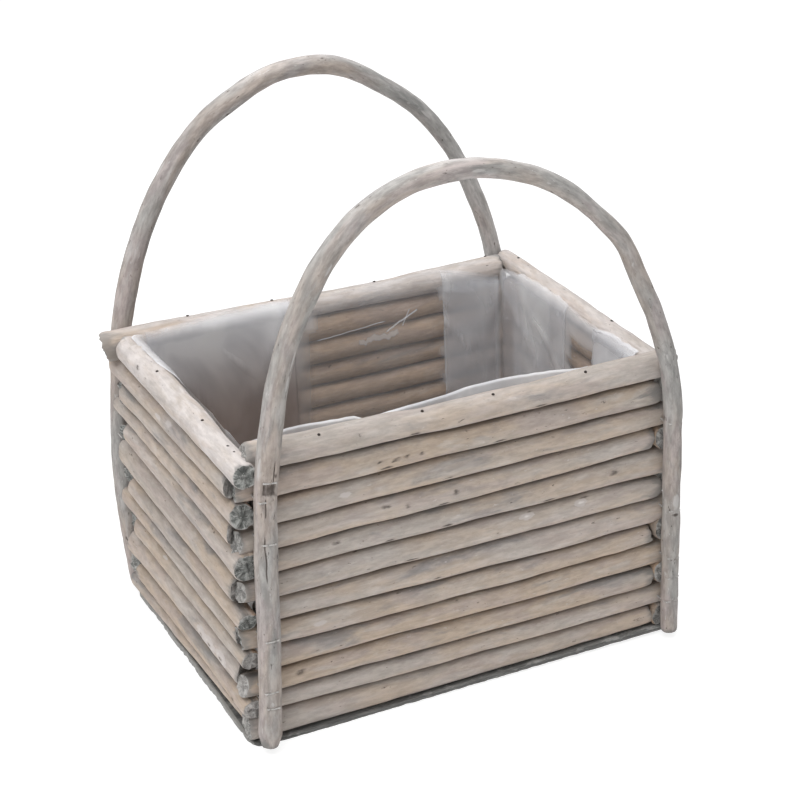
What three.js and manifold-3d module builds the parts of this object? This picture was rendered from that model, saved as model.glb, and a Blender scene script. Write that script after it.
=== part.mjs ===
// A rectangular planter basket: willow sticks stacked log-cabin fashion on a thin board, two bent rods
// stapled to the long walls as handles, and a film liner inside.
// Millimetres, +Z up. The origin is on the ground under the middle of the basket, and -Y is the front.

import * as THREE from "three";
import { mergeVertices } from "three/addons/utils/BufferGeometryUtils.js";
import Module from "manifold-3d";

// Walls
const basketWidth = 300; // over the outer faces of the short walls, along X
const basketDepth = 220; // over the outer faces of the long walls, along Y
const layerCount = 12; // sticks in the height of a wall, its top rail included
const stickButt = 15.5; // diameter of a wall stick at its thick end
const stickTip = 14.8; // diameter of a wall stick at its thin end
const railButt = 18.6; // diameter of a top rail at its thick end
const railTip = 17.9; // diameter of a top rail at its thin end
const layerGap = 0.3; // air between one layer and the next
const endGap = 0.5; // air between a stick's thin end and the side of the stick it stops at
const longOverhang = 1.5; // how far the long walls' sticks stand past the short walls
const shortRecess = 0.4; // how far the short walls' sticks stop inside the faces of the long walls

// Base board
const boardThickness = 4;
const boardInset = 0.6; // from the outer faces of the walls to the board's edge
const boardCornerRadius = 8;

// Liner
const filmThickness = 0.4;
const filmGap = 0.3; // air between the film and the rails around it or the board below it
const filmDrop = 2; // from the top of the rails down to the film's edge
const filmCornerRadius = 6;

// Handles
const rodButt = 14.2; // diameter of a handle rod at its thick foot
const rodTip = 11.4; // diameter of a handle rod at its thin foot
const rodGap = 0.3; // air between a handle leg and the wall it is stapled to
const footHeight = 5; // from the ground to the cut feet of the handles
const frontLegInset = { left: 12.4, right: 9.1 }; // from the outer face of a short wall to the axis of a foot
const backLegInset = { left: 10.5, right: 8 };
const shoulderDrop = 36; // from the top of the rails down to where a straight leg starts to bend
const frontRise = 180.5; // from the shoulders up to the top of the front handle's axis
const backRise = 186.5; // from the shoulders up to the top of the back handle's axis
const frontLeftLean = 6; // how far the front left leg leans inwards between its foot and its shoulder
const backLeftBow = 5; // how far the back left leg bows outwards between its foot and its shoulder
const slackBend = { crown: 2.1, flank: 1.65 }; // exponents of the curve of most shoulders
const fullBend = { crown: 2.45, flank: 1.77 }; // exponents of the front left shoulder, which is fuller

// Staples through the handle legs
const stapleCrown = 8.4; // width over the two prongs
const stapleWire = 1; // side of the square wire
const stapleBite = 7; // how deep the prongs reach into the wall stick behind the leg
const stapleSink = 0.4; // how far the crown is driven below the front of the rod
const stapleClearance = 0.3; // air around the wire in the wood

// Facets
const stickSides = 16;
const rodSides = 12;
const rodSteps = 64;
const cornerSteps = 4;

const wasm = await Module();
wasm.setup();

const willow = new THREE.MeshStandardMaterial({ color: 0xbcb0a2, roughness: 0.85, metalness: 0 });
const bentWillow = new THREE.MeshStandardMaterial({ color: 0xb3aaa0, roughness: 0.82, metalness: 0 });
const greyBoard = new THREE.MeshStandardMaterial({ color: 0x5f5c58, roughness: 0.9, metalness: 0 });
const clearFilm = new THREE.MeshStandardMaterial({
  color: 0xd9dbdf,
  roughness: 0.3,
  metalness: 0,
  transparent: true,
  opacity: 0.4,
});
const stapleSteel = new THREE.MeshStandardMaterial({ color: 0xa9a7a4, roughness: 0.45, metalness: 0.9 });

// The height of each layer's axis, from the board up.
const layerButt = (layer) => (layer === layerCount - 1 ? railButt : stickButt);
const layerTip = (layer) => (layer === layerCount - 1 ? railTip : stickTip);
const layerHeights = [];
for (let layer = 0; layer < layerCount; layer += 1) {
  const below = layer === 0 ? boardThickness : layerHeights[layer - 1] + layerButt(layer - 1) / 2;
  layerHeights.push(below + layerGap + layerButt(layer) / 2);
}
const wallTop = layerHeights[layerCount - 1] + railButt / 2;

// A round rod along a curve, closed at both ends. radiusAt takes the share of the curve's length.
function rodGeometry(curve, steps, sides, radiusAt) {
  const { normals, binormals } = curve.computeFrenetFrames(steps, false);
  const positions = [];
  const triangles = [];
  const corner = (step, side) => step * sides + (side % sides);
  for (let step = 0; step <= steps; step += 1) {
    const share = step / steps;
    const centre = curve.getPointAt(share);
    const radius = radiusAt(share);
    for (let side = 0; side < sides; side += 1) {
      const angle = (side / sides) * 2 * Math.PI;
      const point = centre
        .clone()
        .addScaledVector(normals[step], radius * Math.cos(angle))
        .addScaledVector(binormals[step], radius * Math.sin(angle));
      positions.push(point.x, point.y, point.z);
    }
  }
  for (let step = 0; step < steps; step += 1) {
    for (let side = 0; side < sides; side += 1) {
      const a = corner(step, side);
      const b = corner(step, side + 1);
      const c = corner(step + 1, side + 1);
      const d = corner(step + 1, side);
      triangles.push(a, b, c, a, c, d);
    }
  }
  for (let side = 1; side < sides - 1; side += 1) {
    triangles.push(corner(0, 0), corner(0, side + 1), corner(0, side));
    triangles.push(corner(steps, 0), corner(steps, side), corner(steps, side + 1));
  }
  const geometry = new THREE.BufferGeometry();
  geometry.setAttribute("position", new THREE.Float32BufferAttribute(positions, 3));
  geometry.setIndex(triangles);
  return geometry;
}

// A geometry with the given tools cut out of it.
function cutOut(geometry, tools) {
  const solid = tools.reduce((rest, tool) => rest.subtract(solidOf(tool)), solidOf(geometry));
  const mesh = solid.getMesh();
  const cut = new THREE.BufferGeometry();
  cut.setAttribute("position", new THREE.Float32BufferAttribute(mesh.vertProperties, 3));
  cut.setIndex(new THREE.Uint32BufferAttribute(mesh.triVerts, 1));
  return cut;
}

function solidOf(geometry) {
  const bare = geometry.clone();
  bare.deleteAttribute("normal");
  bare.deleteAttribute("uv");
  const merged = mergeVertices(bare);
  return new wasm.Manifold(
    new wasm.Mesh({
      numProp: 3,
      vertProperties: new Float32Array(merged.attributes.position.array),
      triVerts: new Uint32Array(merged.index.array),
    }),
  );
}

// A flat plate with round corners, its lower face at z = 0.
function plateGeometry(width, depth, thickness, cornerRadius) {
  const x = width / 2;
  const y = depth / 2;
  const outline = new THREE.Shape();
  outline.absarc(x - cornerRadius, y - cornerRadius, cornerRadius, 0, Math.PI / 2);
  outline.absarc(-x + cornerRadius, y - cornerRadius, cornerRadius, Math.PI / 2, Math.PI);
  outline.absarc(-x + cornerRadius, -y + cornerRadius, cornerRadius, Math.PI, 1.5 * Math.PI);
  outline.absarc(x - cornerRadius, -y + cornerRadius, cornerRadius, 1.5 * Math.PI, 2 * Math.PI);
  return new THREE.ExtrudeGeometry(outline, {
    depth: thickness,
    bevelEnabled: false,
    curveSegments: cornerSteps,
  });
}

const basket = new THREE.Group();
basket.name = "stick_basket_planter";

function addPiece(name, geometry, material, parent = basket) {
  geometry.computeVertexNormals();
  const mesh = new THREE.Mesh(geometry, material);
  mesh.name = name;
  parent.add(mesh);
  return mesh;
}

// The four walls. Going round the basket, each stick's thick end passes the next wall and its thin end
// stops at the wall before it. The next layer goes round the other way, so the ends lock like fingers.
// outward points out of the wall, and along is the way the wall runs when one goes round anticlockwise.
const walls = [
  { name: "front", outward: [0, -1], along: [1, 0], long: true },
  { name: "right", outward: [1, 0], along: [0, 1], long: false },
  { name: "back", outward: [0, 1], along: [-1, 0], long: true },
  { name: "left", outward: [-1, 0], along: [0, -1], long: false },
];

// 1 in the layers that go round anticlockwise, as the rails do, and -1 in the others.
const layerTurn = (layer) => ((layerCount - 1 - layer) % 2 === 0 ? 1 : -1);

function stickGeometry(wall, layer) {
  const butt = layerButt(layer);
  const tip = layerTip(layer);
  const halfLength = (wall.long ? basketWidth : basketDepth) / 2;
  const toAxis = (wall.long ? basketDepth : basketWidth) / 2 - butt / 2;
  const turn = layerTurn(layer);
  const thickEnd = halfLength + (wall.long ? longOverhang : -shortRecess);
  const thinEnd = halfLength - butt - endGap;
  const at = (distance) =>
    new THREE.Vector3(
      wall.outward[0] * toAxis + wall.along[0] * turn * distance,
      wall.outward[1] * toAxis + wall.along[1] * turn * distance,
      layerHeights[layer],
    );
  const axis = new THREE.LineCurve3(at(thickEnd), at(-thinEnd));
  return rodGeometry(axis, 1, stickSides, (share) => THREE.MathUtils.lerp(butt, tip, share) / 2);
}

const stickName = (wall, layer) =>
  layer === layerCount - 1 ? `${wall.name}_top_rail` : `${wall.name}_stick_${String(layer + 1).padStart(2, "0")}`;

// A handle rod's axis: up one leg, over the arch and down the other, from the left foot to the right.
// The rod lies against its wall all the way, so its axis comes nearer as the rod grows thinner.
const shoulderHeight = wallTop - shoulderDrop;
const rodRadiusAt = (share) => THREE.MathUtils.lerp(rodButt, rodTip, share) / 2;

class HandleAxis extends THREE.Curve {
  constructor({ outward, rise, legInset, leanLeft, bowLeft, bendLeft, bendRight }) {
    super();
    this.outward = outward;
    this.rise = rise;
    this.leftFoot = basketWidth / 2 - legInset.left;
    this.rightFoot = basketWidth / 2 - legInset.right;
    this.leanLeft = leanLeft;
    this.bowLeft = bowLeft;
    this.bendLeft = bendLeft;
    this.bendRight = bendRight;
    this.legLength = shoulderHeight - footHeight;
    this.legShare = this.legLength / (2 * this.legLength + Math.PI * Math.sqrt(this.rightFoot * rise));
    this.arcLengthDivisions = 8 * rodSteps;
  }

  getPoint(t, target = new THREE.Vector3()) {
    const { leftFoot, rightFoot, legShare, legLength } = this;
    const leftShoulder = leftFoot - this.leanLeft;
    const wallFace = (this.outward * basketDepth) / 2;
    const y = wallFace + this.outward * (rodGap + rodRadiusAt(t));
    if (t < legShare) {
      const up = t / legShare;
      const bow = this.bowLeft * Math.sin(Math.PI * up);
      const x = -THREE.MathUtils.lerp(leftFoot, leftShoulder, up) - bow;
      return target.set(x, y, footHeight + up * legLength);
    }
    if (t > 1 - legShare) {
      return target.set(rightFoot, y, footHeight + ((1 - t) / legShare) * legLength);
    }
    const angle = Math.PI * (1 - (t - legShare) / (1 - 2 * legShare));
    const onLeft = angle > Math.PI / 2;
    const bend = onLeft ? this.bendLeft : this.bendRight;
    const reach = Math.abs(Math.cos(angle)) ** (2 / bend.crown);
    const x = onLeft ? -leftShoulder * reach : rightFoot * reach;
    return target.set(x, y, shoulderHeight + this.rise * Math.sin(angle) ** (2 / bend.flank));
  }

  // The point of the left or right leg at a height, with the rod's radius there.
  legAt(side, height) {
    const up = (height - footHeight) / this.legLength;
    const t = side < 0 ? up * this.legShare : 1 - up * this.legShare;
    return { point: this.getPoint(t), radius: rodRadiusAt(t) };
  }
}

const handles = [
  {
    wall: walls[0],
    axis: new HandleAxis({
      outward: -1,
      rise: frontRise,
      legInset: frontLegInset,
      leanLeft: frontLeftLean,
      bowLeft: 0,
      bendLeft: fullBend,
      bendRight: slackBend,
    }),
  },
  {
    wall: walls[2],
    axis: new HandleAxis({
      outward: 1,
      rise: backRise,
      legInset: backLegInset,
      leanLeft: 0,
      bowLeft: backLeftBow,
      bendLeft: slackBend,
      bendRight: slackBend,
    }),
  },
];

// A staple lies level, its crown along X and its prongs along +Y, with the front of the crown at y = 0.
function stapleGeometry(crown, wire, prong) {
  const half = crown / 2;
  const outline = new THREE.Shape([
    new THREE.Vector2(-half, 0),
    new THREE.Vector2(half, 0),
    new THREE.Vector2(half, prong),
    new THREE.Vector2(half - wire, prong),
    new THREE.Vector2(half - wire, wire),
    new THREE.Vector2(-half + wire, wire),
    new THREE.Vector2(-half + wire, prong),
    new THREE.Vector2(-half, prong),
  ]);
  return new THREE.ExtrudeGeometry(outline, { depth: wire, bevelEnabled: false }).translate(0, 0, -wire / 2);
}

// The room that a staple takes in the wood. It is open in front, where the crown was driven in.
function stapleRoom(prong) {
  return stapleGeometry(
    stapleCrown + 2 * stapleClearance,
    stapleWire + 2 * stapleClearance,
    prong + 2 * stapleClearance,
  ).translate(0, -stapleClearance, 0);
}

// Turns a staple at the origin to face its wall and moves it to its place.
function driveIn(geometry, staple) {
  if (staple.outward > 0) geometry.rotateZ(Math.PI);
  return geometry.translate(staple.place.x, staple.place.y, staple.place.z);
}

// Each leg has two staples, in the highest and the lowest layer whose wall stick runs behind the leg.
function staplesOf({ wall, axis }) {
  const found = [];
  for (const side of [-1, 1]) {
    const passing = layerHeights
      .map((height, layer) => layer)
      .filter((layer) => layer > 0 && layer < layerCount - 1 && layerTurn(layer) * wall.along[0] === side);
    for (const [level, layer] of [["upper", Math.max(...passing)], ["lower", Math.min(...passing)]]) {
      const { point, radius } = axis.legAt(side, layerHeights[layer]);
      const front = point.y + axis.outward * (radius - stapleSink);
      found.push({
        name: `${wall.name}_${side < 0 ? "left" : "right"}_${level}_staple`,
        layer,
        outward: axis.outward,
        place: new THREE.Vector3(point.x, front, point.z),
        prong: 2 * radius - stapleSink + rodGap + stapleBite,
      });
    }
  }
  return found;
}

for (const handle of handles) handle.staples = staplesOf(handle);

for (const wall of walls) {
  const staples = handles.filter((handle) => handle.wall === wall).flatMap((handle) => handle.staples);
  for (let layer = 0; layer < layerCount; layer += 1) {
    const rooms = staples
      .filter((staple) => staple.layer === layer)
      .map((staple) => driveIn(stapleRoom(staple.prong), staple));
    const stick = stickGeometry(wall, layer);
    addPiece(stickName(wall, layer), rooms.length ? cutOut(stick, rooms) : stick, willow);
  }
}

for (const { wall, axis, staples } of handles) {
  const rooms = staples.map((staple) => driveIn(stapleRoom(staple.prong), staple));
  const rod = rodGeometry(axis, rodSteps, rodSides, rodRadiusAt);
  addPiece(`${wall.name}_handle`, cutOut(rod, rooms), bentWillow);
  for (const staple of staples) {
    const wire = stapleGeometry(stapleCrown, stapleWire, staple.prong);
    addPiece(staple.name, driveIn(wire, staple), stapleSteel);
  }
}

addPiece(
  "base_board",
  plateGeometry(
    basketWidth - 2 * boardInset,
    basketDepth - 2 * boardInset,
    boardThickness,
    boardCornerRadius,
  ),
  greyBoard,
);

// The liner is an open box of film that stands on the board and reaches up behind the rails.
function linerGeometry() {
  const width = basketWidth - 2 * (railButt + filmGap);
  const depth = basketDepth - 2 * (railButt + filmGap);
  const foot = boardThickness + filmGap;
  const height = wallTop - filmDrop - foot;
  const outside = plateGeometry(width, depth, height, filmCornerRadius).translate(0, 0, foot);
  const inside = plateGeometry(
    width - 2 * filmThickness,
    depth - 2 * filmThickness,
    height,
    filmCornerRadius - filmThickness,
  ).translate(0, 0, foot + filmThickness);
  return cutOut(outside, [inside]);
}
addPiece("film_liner", linerGeometry(), clearFilm);

export default basket;
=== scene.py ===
# Stick basket planter: the look of every piece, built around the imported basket.
# Metres, +Z up. The origin is on the ground under the middle of the basket, and -Y is the front.

import math

import bmesh
import bpy
import numpy as np
from bpy.props import FloatProperty, FloatVectorProperty, IntProperty, PointerProperty
from mathutils import Matrix, Vector


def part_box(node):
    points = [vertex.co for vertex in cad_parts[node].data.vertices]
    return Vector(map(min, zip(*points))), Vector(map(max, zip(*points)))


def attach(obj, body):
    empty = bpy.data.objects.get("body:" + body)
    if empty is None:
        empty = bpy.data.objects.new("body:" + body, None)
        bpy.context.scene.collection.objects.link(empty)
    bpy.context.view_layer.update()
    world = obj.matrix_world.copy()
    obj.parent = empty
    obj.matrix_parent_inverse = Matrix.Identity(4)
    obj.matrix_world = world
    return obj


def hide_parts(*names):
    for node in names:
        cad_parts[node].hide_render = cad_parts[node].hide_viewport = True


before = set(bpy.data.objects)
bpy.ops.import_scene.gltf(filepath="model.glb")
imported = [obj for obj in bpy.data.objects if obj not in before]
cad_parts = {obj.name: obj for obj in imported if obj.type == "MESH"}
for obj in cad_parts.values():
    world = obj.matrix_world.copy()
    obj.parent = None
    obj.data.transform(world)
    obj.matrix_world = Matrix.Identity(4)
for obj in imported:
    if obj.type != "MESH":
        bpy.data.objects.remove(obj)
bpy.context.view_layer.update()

bl_info = {
    "name": "Stick Basket Planter",
    "version": (1, 0, 0),
    "blender": (4, 5, 0),
    "location": "View3D > Sidebar > Basket",
    "description": "Willow sticks, bent handles, staples, nails and film for a stick basket planter",
    "category": "Object",
}

MM = 0.001
FULL_TURN = 2 * math.pi
BODY = "root"
SEED = 41


def mm(*lengths):
    """Lengths in millimetres as metres."""
    return tuple(length * MM for length in lengths)


# Layers are counted from the board up, and the last one is the top rails
LAYERS = 1 + sum(name.startswith("front_stick_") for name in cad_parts)
RAIL = LAYERS - 1
BOARD_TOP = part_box("base_board")[1].z
WALL_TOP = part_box("front_top_rail")[1].z
LAYER_GAP = 0.3 * MM

# In these tables plain lengths are in millimetres, layers are counted from the rail as 1, and places along a
# wall from its middle, going round anticlockwise

# Height of each layer at the left end, the middle and the right end of the front wall, with the rail first
FRONT_SIZES = (
    (18, 19, 17.5),
    (19, 17, 17),
    (17, 16.5, 14.5),
    (16.5, 16, 15),
    (16.5, 15.5, 19.5),
    (15.5, 17.5, 15.5),
    (15, 17.5, 17.5),
    (15.5, 15, 14),
    (17, 14.5, 17.5),
    (13.5, 16, 14),
    (13, 13, 15.5),
    (18.5, 16, 13.5),
)

# The same for the left wall, from its back end to its front end
LEFT_SIZES = (
    (18.5, 17, 15),
    (16, 15.5, 14),
    (14, 14, 16),
    (11, 13.5, 16),
    (17, 18.5, 20),
    (24, 22.5, 19.5),
    (15, 14.5, 12.5),
    (14, 12, 14.5),
    (18.5, 15, 11),
    (19, 19, 22),
    (12.5, 15, 14.5),
    (13, 15, 15),
)

# The upper layers in the middle of the back wall, which the opening shows
BACK_SIZES = (17.5, 17.5, 18.5, 16.5, 16.5)

# The right rail's thickness at its front end, its middle and its back end
RIGHT_RAIL_SIZES = (18.5, 16.5, 13.5)

# How far the rails' upper sides lie below the wall's top at the start, the middle and the end of a wall
RAIL_DROPS = {"front": (0, 0.5, 0.5), "right": (0.5, 0.5, 0), "back": (0, 0, 0), "left": (0, 1.5, 5)}

# How far the rails' crests lie below their full height: place along the wall and depth
RAIL_DIPS = {
    "front": ((-140, 0.3), (-90, 1.5), (-40, 1.8), (-22, 3.2), (54, 3.4), (94, 1.4), (140, 0.3)),
    "right": ((-92, 3.8), (-64, 3.4), (-14, 2.1), (13, 0.8), (80, 0)),
    "back": ((-113, 0), (-67, 0.9), (-57, 2.3), (-29, 2.4), (44, 1.4), (86, 0), (121, -1)),
    "left": ((0, 0),),
}

# How far the left rail's front end hangs lower still and lies further in, and where this begins and ends,
# as shares of the wall and as places along it
RAIL_HANG = 2
RAIL_TUCK = 1.8
HANG_RUN = (0.73, 0.97)
TUCK_RUN = mm(50, 105)

# How far the foot of a wall lies above the board at its start, its middle and its end, and the number of
# layers that share the rise
FOOT_LIFTS = {"front": (-1.8, -0.4, 2.6), "left": (0.6, 2.2, 4.4)}
FOOT_LAYERS = {"front": 5, "left": 1}

# How far the left wall's lowest stick lies further in at its back and front end
FOOT_TUCK = (0.3, 4.2)

# Layers whose front stick laps over the front end of the right wall's stick, and how much shorter that is
LAPPED_LAYERS = (2, 6)
LAP_SHORT = 7

# The left ends of the front wall's sticks, by layer: how far they stop short of the left wall's face, their
# size as a share of the stick's, and how far they are bleached
FRONT_ENDS = {
    2: (7, 0.82, 0.3),
    4: (6, 0.9, 0.55),
    6: (6, 0.85, 0.65),
    8: (3.8, 1, 0.5),
    10: (3, 1.1, 0.9),
    12: (4.2, 1, 0.65),
}

# Marks that stand out on the front wall, by kind: layer and place
FRONT_MARKS = {
    "knot": ((4, -51), (5, -84), (10, -112), (5, 104)),
    "flake": ((6, 81), (6, 43)),
    "scar": ((3, -77), (8, -98)),
    "chip": (
        (1, -30), (1, 54), (2, -49), (2, 25), (3, -9), (4, -13), (5, -49), (5, -11), (5, 59),
        (6, -36), (7, -19),
    ),
}

# A row of short dark dashes on the front wall: its layer, and the places of the dashes
DASH_LAYER = 2
DASH_PLACES = (-54, -45, -42, -36.5, -27)

# The same for the left wall
LEFT_MARKS = {"crater": ((10, 39), (10, 53), (10, 72)), "scar": ((2, -12), (2, 6))}

# Nails in the rails, by wall: place, and angle from the rail's crest towards its outer side
NAIL_PLACES = {
    "front": ((-90, 0.5), (-23, 0.2), (24, 0.22), (87, 0.32)),
    "right": ((-94, 0.4), (-38, 0.35), (88, 0.25)),
    "back": ((-125, 0.2), (-40, 0.15), (35, 0.25), (95, 0.2)),
    "left": ((-26, 0.2), (53, 0.1), (87, -0.3), (95, -0.4)),
}

# Heights of the extra staples on each leg, beside the two that the basket's solids hold
EXTRA_STAPLES = {
    ("front", "left"): (179.5, 141, 78, 33),
    ("front", "right"): (93, 59, 45),
    ("back", "left"): (120, 74),
    ("back", "right"): (128, 82),
}


# Settings

class StickSettings(bpy.types.PropertyGroup):
    """Shape and colours of the wall sticks and rails"""

    sides: IntProperty(name="Sides", description="Faces round a stick", default=36, min=8)
    ring_step: FloatProperty(
        name="Ring spacing", description="Distance between the rings of a stick",
        default=2 * MM, unit="LENGTH")
    sway: FloatProperty(
        name="Sway", description="How far the line between two sticks wanders",
        default=0.45 * MM, unit="LENGTH")
    loose_gap: FloatProperty(
        name="Loose gap", description="Extra air where two sticks lie loosely",
        default=0.3 * MM, unit="LENGTH")
    crook: FloatProperty(
        name="Crook", description="How far a stick bends in and out of its wall",
        default=0.5 * MM, unit="LENGTH")
    skin: FloatProperty(
        name="Skin", description="How far the peeled skin swells and hollows",
        default=0.14 * MM, unit="LENGTH")
    deepest: FloatProperty(
        name="Deepest stick", description="Largest depth of a stick into the basket",
        default=18.4 * MM, unit="LENGTH")
    end_round: FloatProperty(
        name="End rounding", description="Length of the worn edge at a cut end",
        default=0.8 * MM, unit="LENGTH")
    warm: FloatVectorProperty(
        name="Warm wood", description="Peeled wood where the wash is thin",
        subtype="COLOR", default=(0.5, 0.407, 0.326))
    cool: FloatVectorProperty(
        name="Cool wood", description="Peeled wood under a thin grey wash",
        subtype="COLOR", default=(0.445, 0.397, 0.356))
    blush: FloatVectorProperty(
        name="Blush", description="Pinkish grey patches", subtype="COLOR", default=(0.455, 0.383, 0.35))
    wash: FloatVectorProperty(
        name="Wash", description="Pale grey wash left on the wood",
        subtype="COLOR", default=(0.57, 0.528, 0.49))
    pale: FloatVectorProperty(
        name="Pale", description="Thick wash on bleached sticks",
        subtype="COLOR", default=(0.6, 0.555, 0.535))
    stain: FloatVectorProperty(
        name="Stain", description="Blue-grey weather stain",
        subtype="COLOR", default=(0.27, 0.265, 0.268))
    tip_stain: FloatVectorProperty(
        name="Tip stain", description="Green-grey stain at the cut ends",
        subtype="COLOR", default=(0.22, 0.215, 0.208))
    flake: FloatVectorProperty(
        name="Flake", description="Bare wood where a flake is gone",
        subtype="COLOR", default=(0.84, 0.81, 0.78))
    # The dark marks also colour the thin painted shadow line at each stick's top, under the stick above
    dark: FloatVectorProperty(
        name="Dark marks", description="Knots, cracks and dirt",
        subtype="COLOR", default=(0.075, 0.06, 0.052))
    streak: FloatProperty(
        name="Streaks", description="Strength of the long fibres",
        default=0.3, subtype="FACTOR")
    mottle: FloatProperty(
        name="Mottling", description="Strength of the small blotches",
        default=0.45, subtype="FACTOR")


class HandleSettings(bpy.types.PropertyGroup):
    """Shape and colours of the two bent rods"""

    sides: IntProperty(name="Sides", description="Faces round a rod", default=96, min=8)
    ring_step: FloatProperty(
        name="Ring spacing", description="Distance between the rings of a rod",
        default=1.15 * MM, unit="LENGTH")
    skin: FloatProperty(
        name="Skin", description="How far the skin swells and hollows", default=0.22 * MM, unit="LENGTH")
    node_step: FloatProperty(
        name="Bud spacing", description="Usual distance between bud swellings",
        default=85 * MM, unit="LENGTH")
    node_height: FloatProperty(
        name="Bud height", description="Height of a bud swelling", default=0.32 * MM, unit="LENGTH")
    warm: FloatVectorProperty(
        name="Warm wood", description="Wood where the wash is thin",
        subtype="COLOR", default=(0.405, 0.345, 0.305))
    cool: FloatVectorProperty(
        name="Cool wood", description="Wood under the grey wash",
        subtype="COLOR", default=(0.345, 0.335, 0.322))
    blush: FloatVectorProperty(
        name="Blush", description="Pinkish grey patches", subtype="COLOR", default=(0.4, 0.345, 0.338))
    wash: FloatVectorProperty(
        name="Wash", description="Pale grey wash left on the wood",
        subtype="COLOR", default=(0.46, 0.445, 0.435))
    # On the rods this pale colour also paints light on the tops and undersides
    pale: FloatVectorProperty(
        name="Pale", description="Thick wash where it is left",
        subtype="COLOR", default=(0.54, 0.52, 0.51))
    stain: FloatVectorProperty(
        name="Stain", description="Green-grey weather stain",
        subtype="COLOR", default=(0.215, 0.225, 0.222))
    streak: FloatProperty(
        name="Streaks", description="Strength of the long fibres",
        default=0.5, subtype="FACTOR")
    mottle: FloatProperty(
        name="Mottling", description="Strength of the small blotches",
        default=0.8, subtype="FACTOR")


class FilmSettings(bpy.types.PropertyGroup):
    """Shape and colour of the liner"""

    column_step: FloatProperty(
        name="Column spacing", description="Distance between the columns of the film",
        default=4 * MM, unit="LENGTH")
    rows: IntProperty(
        name="Rows", description="Rows of faces from the board to the rim",
        default=56, min=8)
    corner_cut: FloatProperty(
        name="Corner cut", description="How far the film cuts across a corner",
        default=3 * MM, unit="LENGTH")
    ply: FloatProperty(
        name="Ply spacing", description="Distance between the plies of a pleat",
        default=0.5 * MM, unit="LENGTH")
    billow: FloatProperty(
        name="Billow", description="How far the creases stand off the wall",
        default=2 * MM, unit="LENGTH")
    colour: FloatVectorProperty(
        name="Film", description="Milky colour of the film",
        subtype="COLOR", default=(0.845, 0.85, 0.885))
    # Painted shade colour for the film where it lies in shade, low in the corner that faces away from the
    # light
    dusk: FloatVectorProperty(
        name="Dusk", description="Dull film low in the corner that faces away",
        subtype="COLOR", default=(0.42, 0.345, 0.315))
    veil: FloatProperty(
        name="Veil", description="Opacity of one smooth ply",
        default=0.17, subtype="FACTOR")
    rim_veil: FloatProperty(
        name="Rim veil", description="Opacity of the film's edge",
        default=0.94, subtype="FACTOR")
    flat_width: FloatProperty(
        name="Flat width", description="Way round the bag, cut open and laid flat",
        default=1.2, unit="LENGTH")
    flat_length: FloatProperty(
        name="Flat length", description="Length of the bag laid flat", default=0.281, unit="LENGTH")


class FittingSettings(bpy.types.PropertyGroup):
    """Staples, nails and the base board"""

    wire_edge: FloatProperty(
        name="Wire rounding", description="Rounding of the staple wire",
        default=0.28 * MM, unit="LENGTH")
    nail_radius: FloatProperty(
        name="Nail head", description="Radius of a nail head", default=1.05 * MM, unit="LENGTH")
    nail_length: FloatProperty(
        name="Nail length", description="Length of a nail", default=22 * MM, unit="LENGTH")
    board_ragged: FloatProperty(
        name="Ragged edge", description="How far the board's sawn edge is broken",
        default=0.6 * MM, unit="LENGTH")
    board: FloatVectorProperty(
        name="Board", description="Dark weathered board", subtype="COLOR", default=(0.18, 0.178, 0.172))
    wire: FloatVectorProperty(
        name="Wire", description="Staple wire under the wash",
        subtype="COLOR", default=(0.5, 0.485, 0.47))


class StageSettings(bpy.types.PropertyGroup):
    """Camera, floor and light"""

    turn: FloatProperty(
        name="Camera turn", description="Camera's way round the basket",
        default=math.radians(-24.28), unit="ROTATION")
    rise: FloatProperty(
        name="Camera rise", description="Camera's angle above the floor",
        default=math.radians(24.01), unit="ROTATION")
    roll: FloatProperty(
        name="Camera roll", description="Camera's tilt to its side",
        default=math.radians(-2.29), unit="ROTATION")
    distance: FloatProperty(
        name="Distance", description="From the camera to the basket's foot",
        default=1.38876, unit="LENGTH")
    shift_right: FloatProperty(
        name="Right", description="How far the camera stands to its right",
        default=0.00299, unit="LENGTH")
    shift_up: FloatProperty(
        name="Up", description="How far the camera stands up", default=0.14122, unit="LENGTH")
    lens: FloatProperty(name="Lens", description="Focal length in millimetres", default=93.05)
    floor_side: FloatProperty(name="Floor", description="Side of the floor", default=16, unit="LENGTH")
    floor: FloatVectorProperty(
        name="Floor colour", description="White floor", subtype="COLOR", default=(0.93, 0.93, 0.93))
    sky: FloatProperty(name="Sky", description="Strength of the even light all round", default=0.36)
    overhead: FloatProperty(name="Overhead", description="Power of the lamp above in watts", default=50)
    fill: FloatProperty(
        name="Fill", description="Power of the low lamp at the front left in watts",
        default=5.5)


# Seeded waves

def seeded(*keys):
    """A random generator of its own for each piece, the same in every run."""
    return np.random.default_rng((SEED,) + keys)


def wander(rng, along, slowest, fastest, waves=5):
    """A smooth random line, about -1 to 1, with waves of the given lengths."""
    line = np.zeros_like(along)
    for _ in range(waves):
        rate = FULL_TURN / rng.uniform(fastest, slowest)
        line += np.sin(rate * along + rng.uniform(0, FULL_TURN))
    return line / math.sqrt(waves)


def uneven_skin(rng, along, angle, waves=16):
    """Shallow swellings and hollows of a peeled stick, about -1 to 1, that close up round it."""
    skin = np.zeros_like(along)
    for _ in range(waves):
        rate = FULL_TURN / rng.uniform(14 * MM, 120 * MM)
        lobes = rng.integers(0, 5)
        skin += np.cos(rate * along + lobes * angle + rng.uniform(0, FULL_TURN))
    return skin / math.sqrt(waves)


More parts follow.
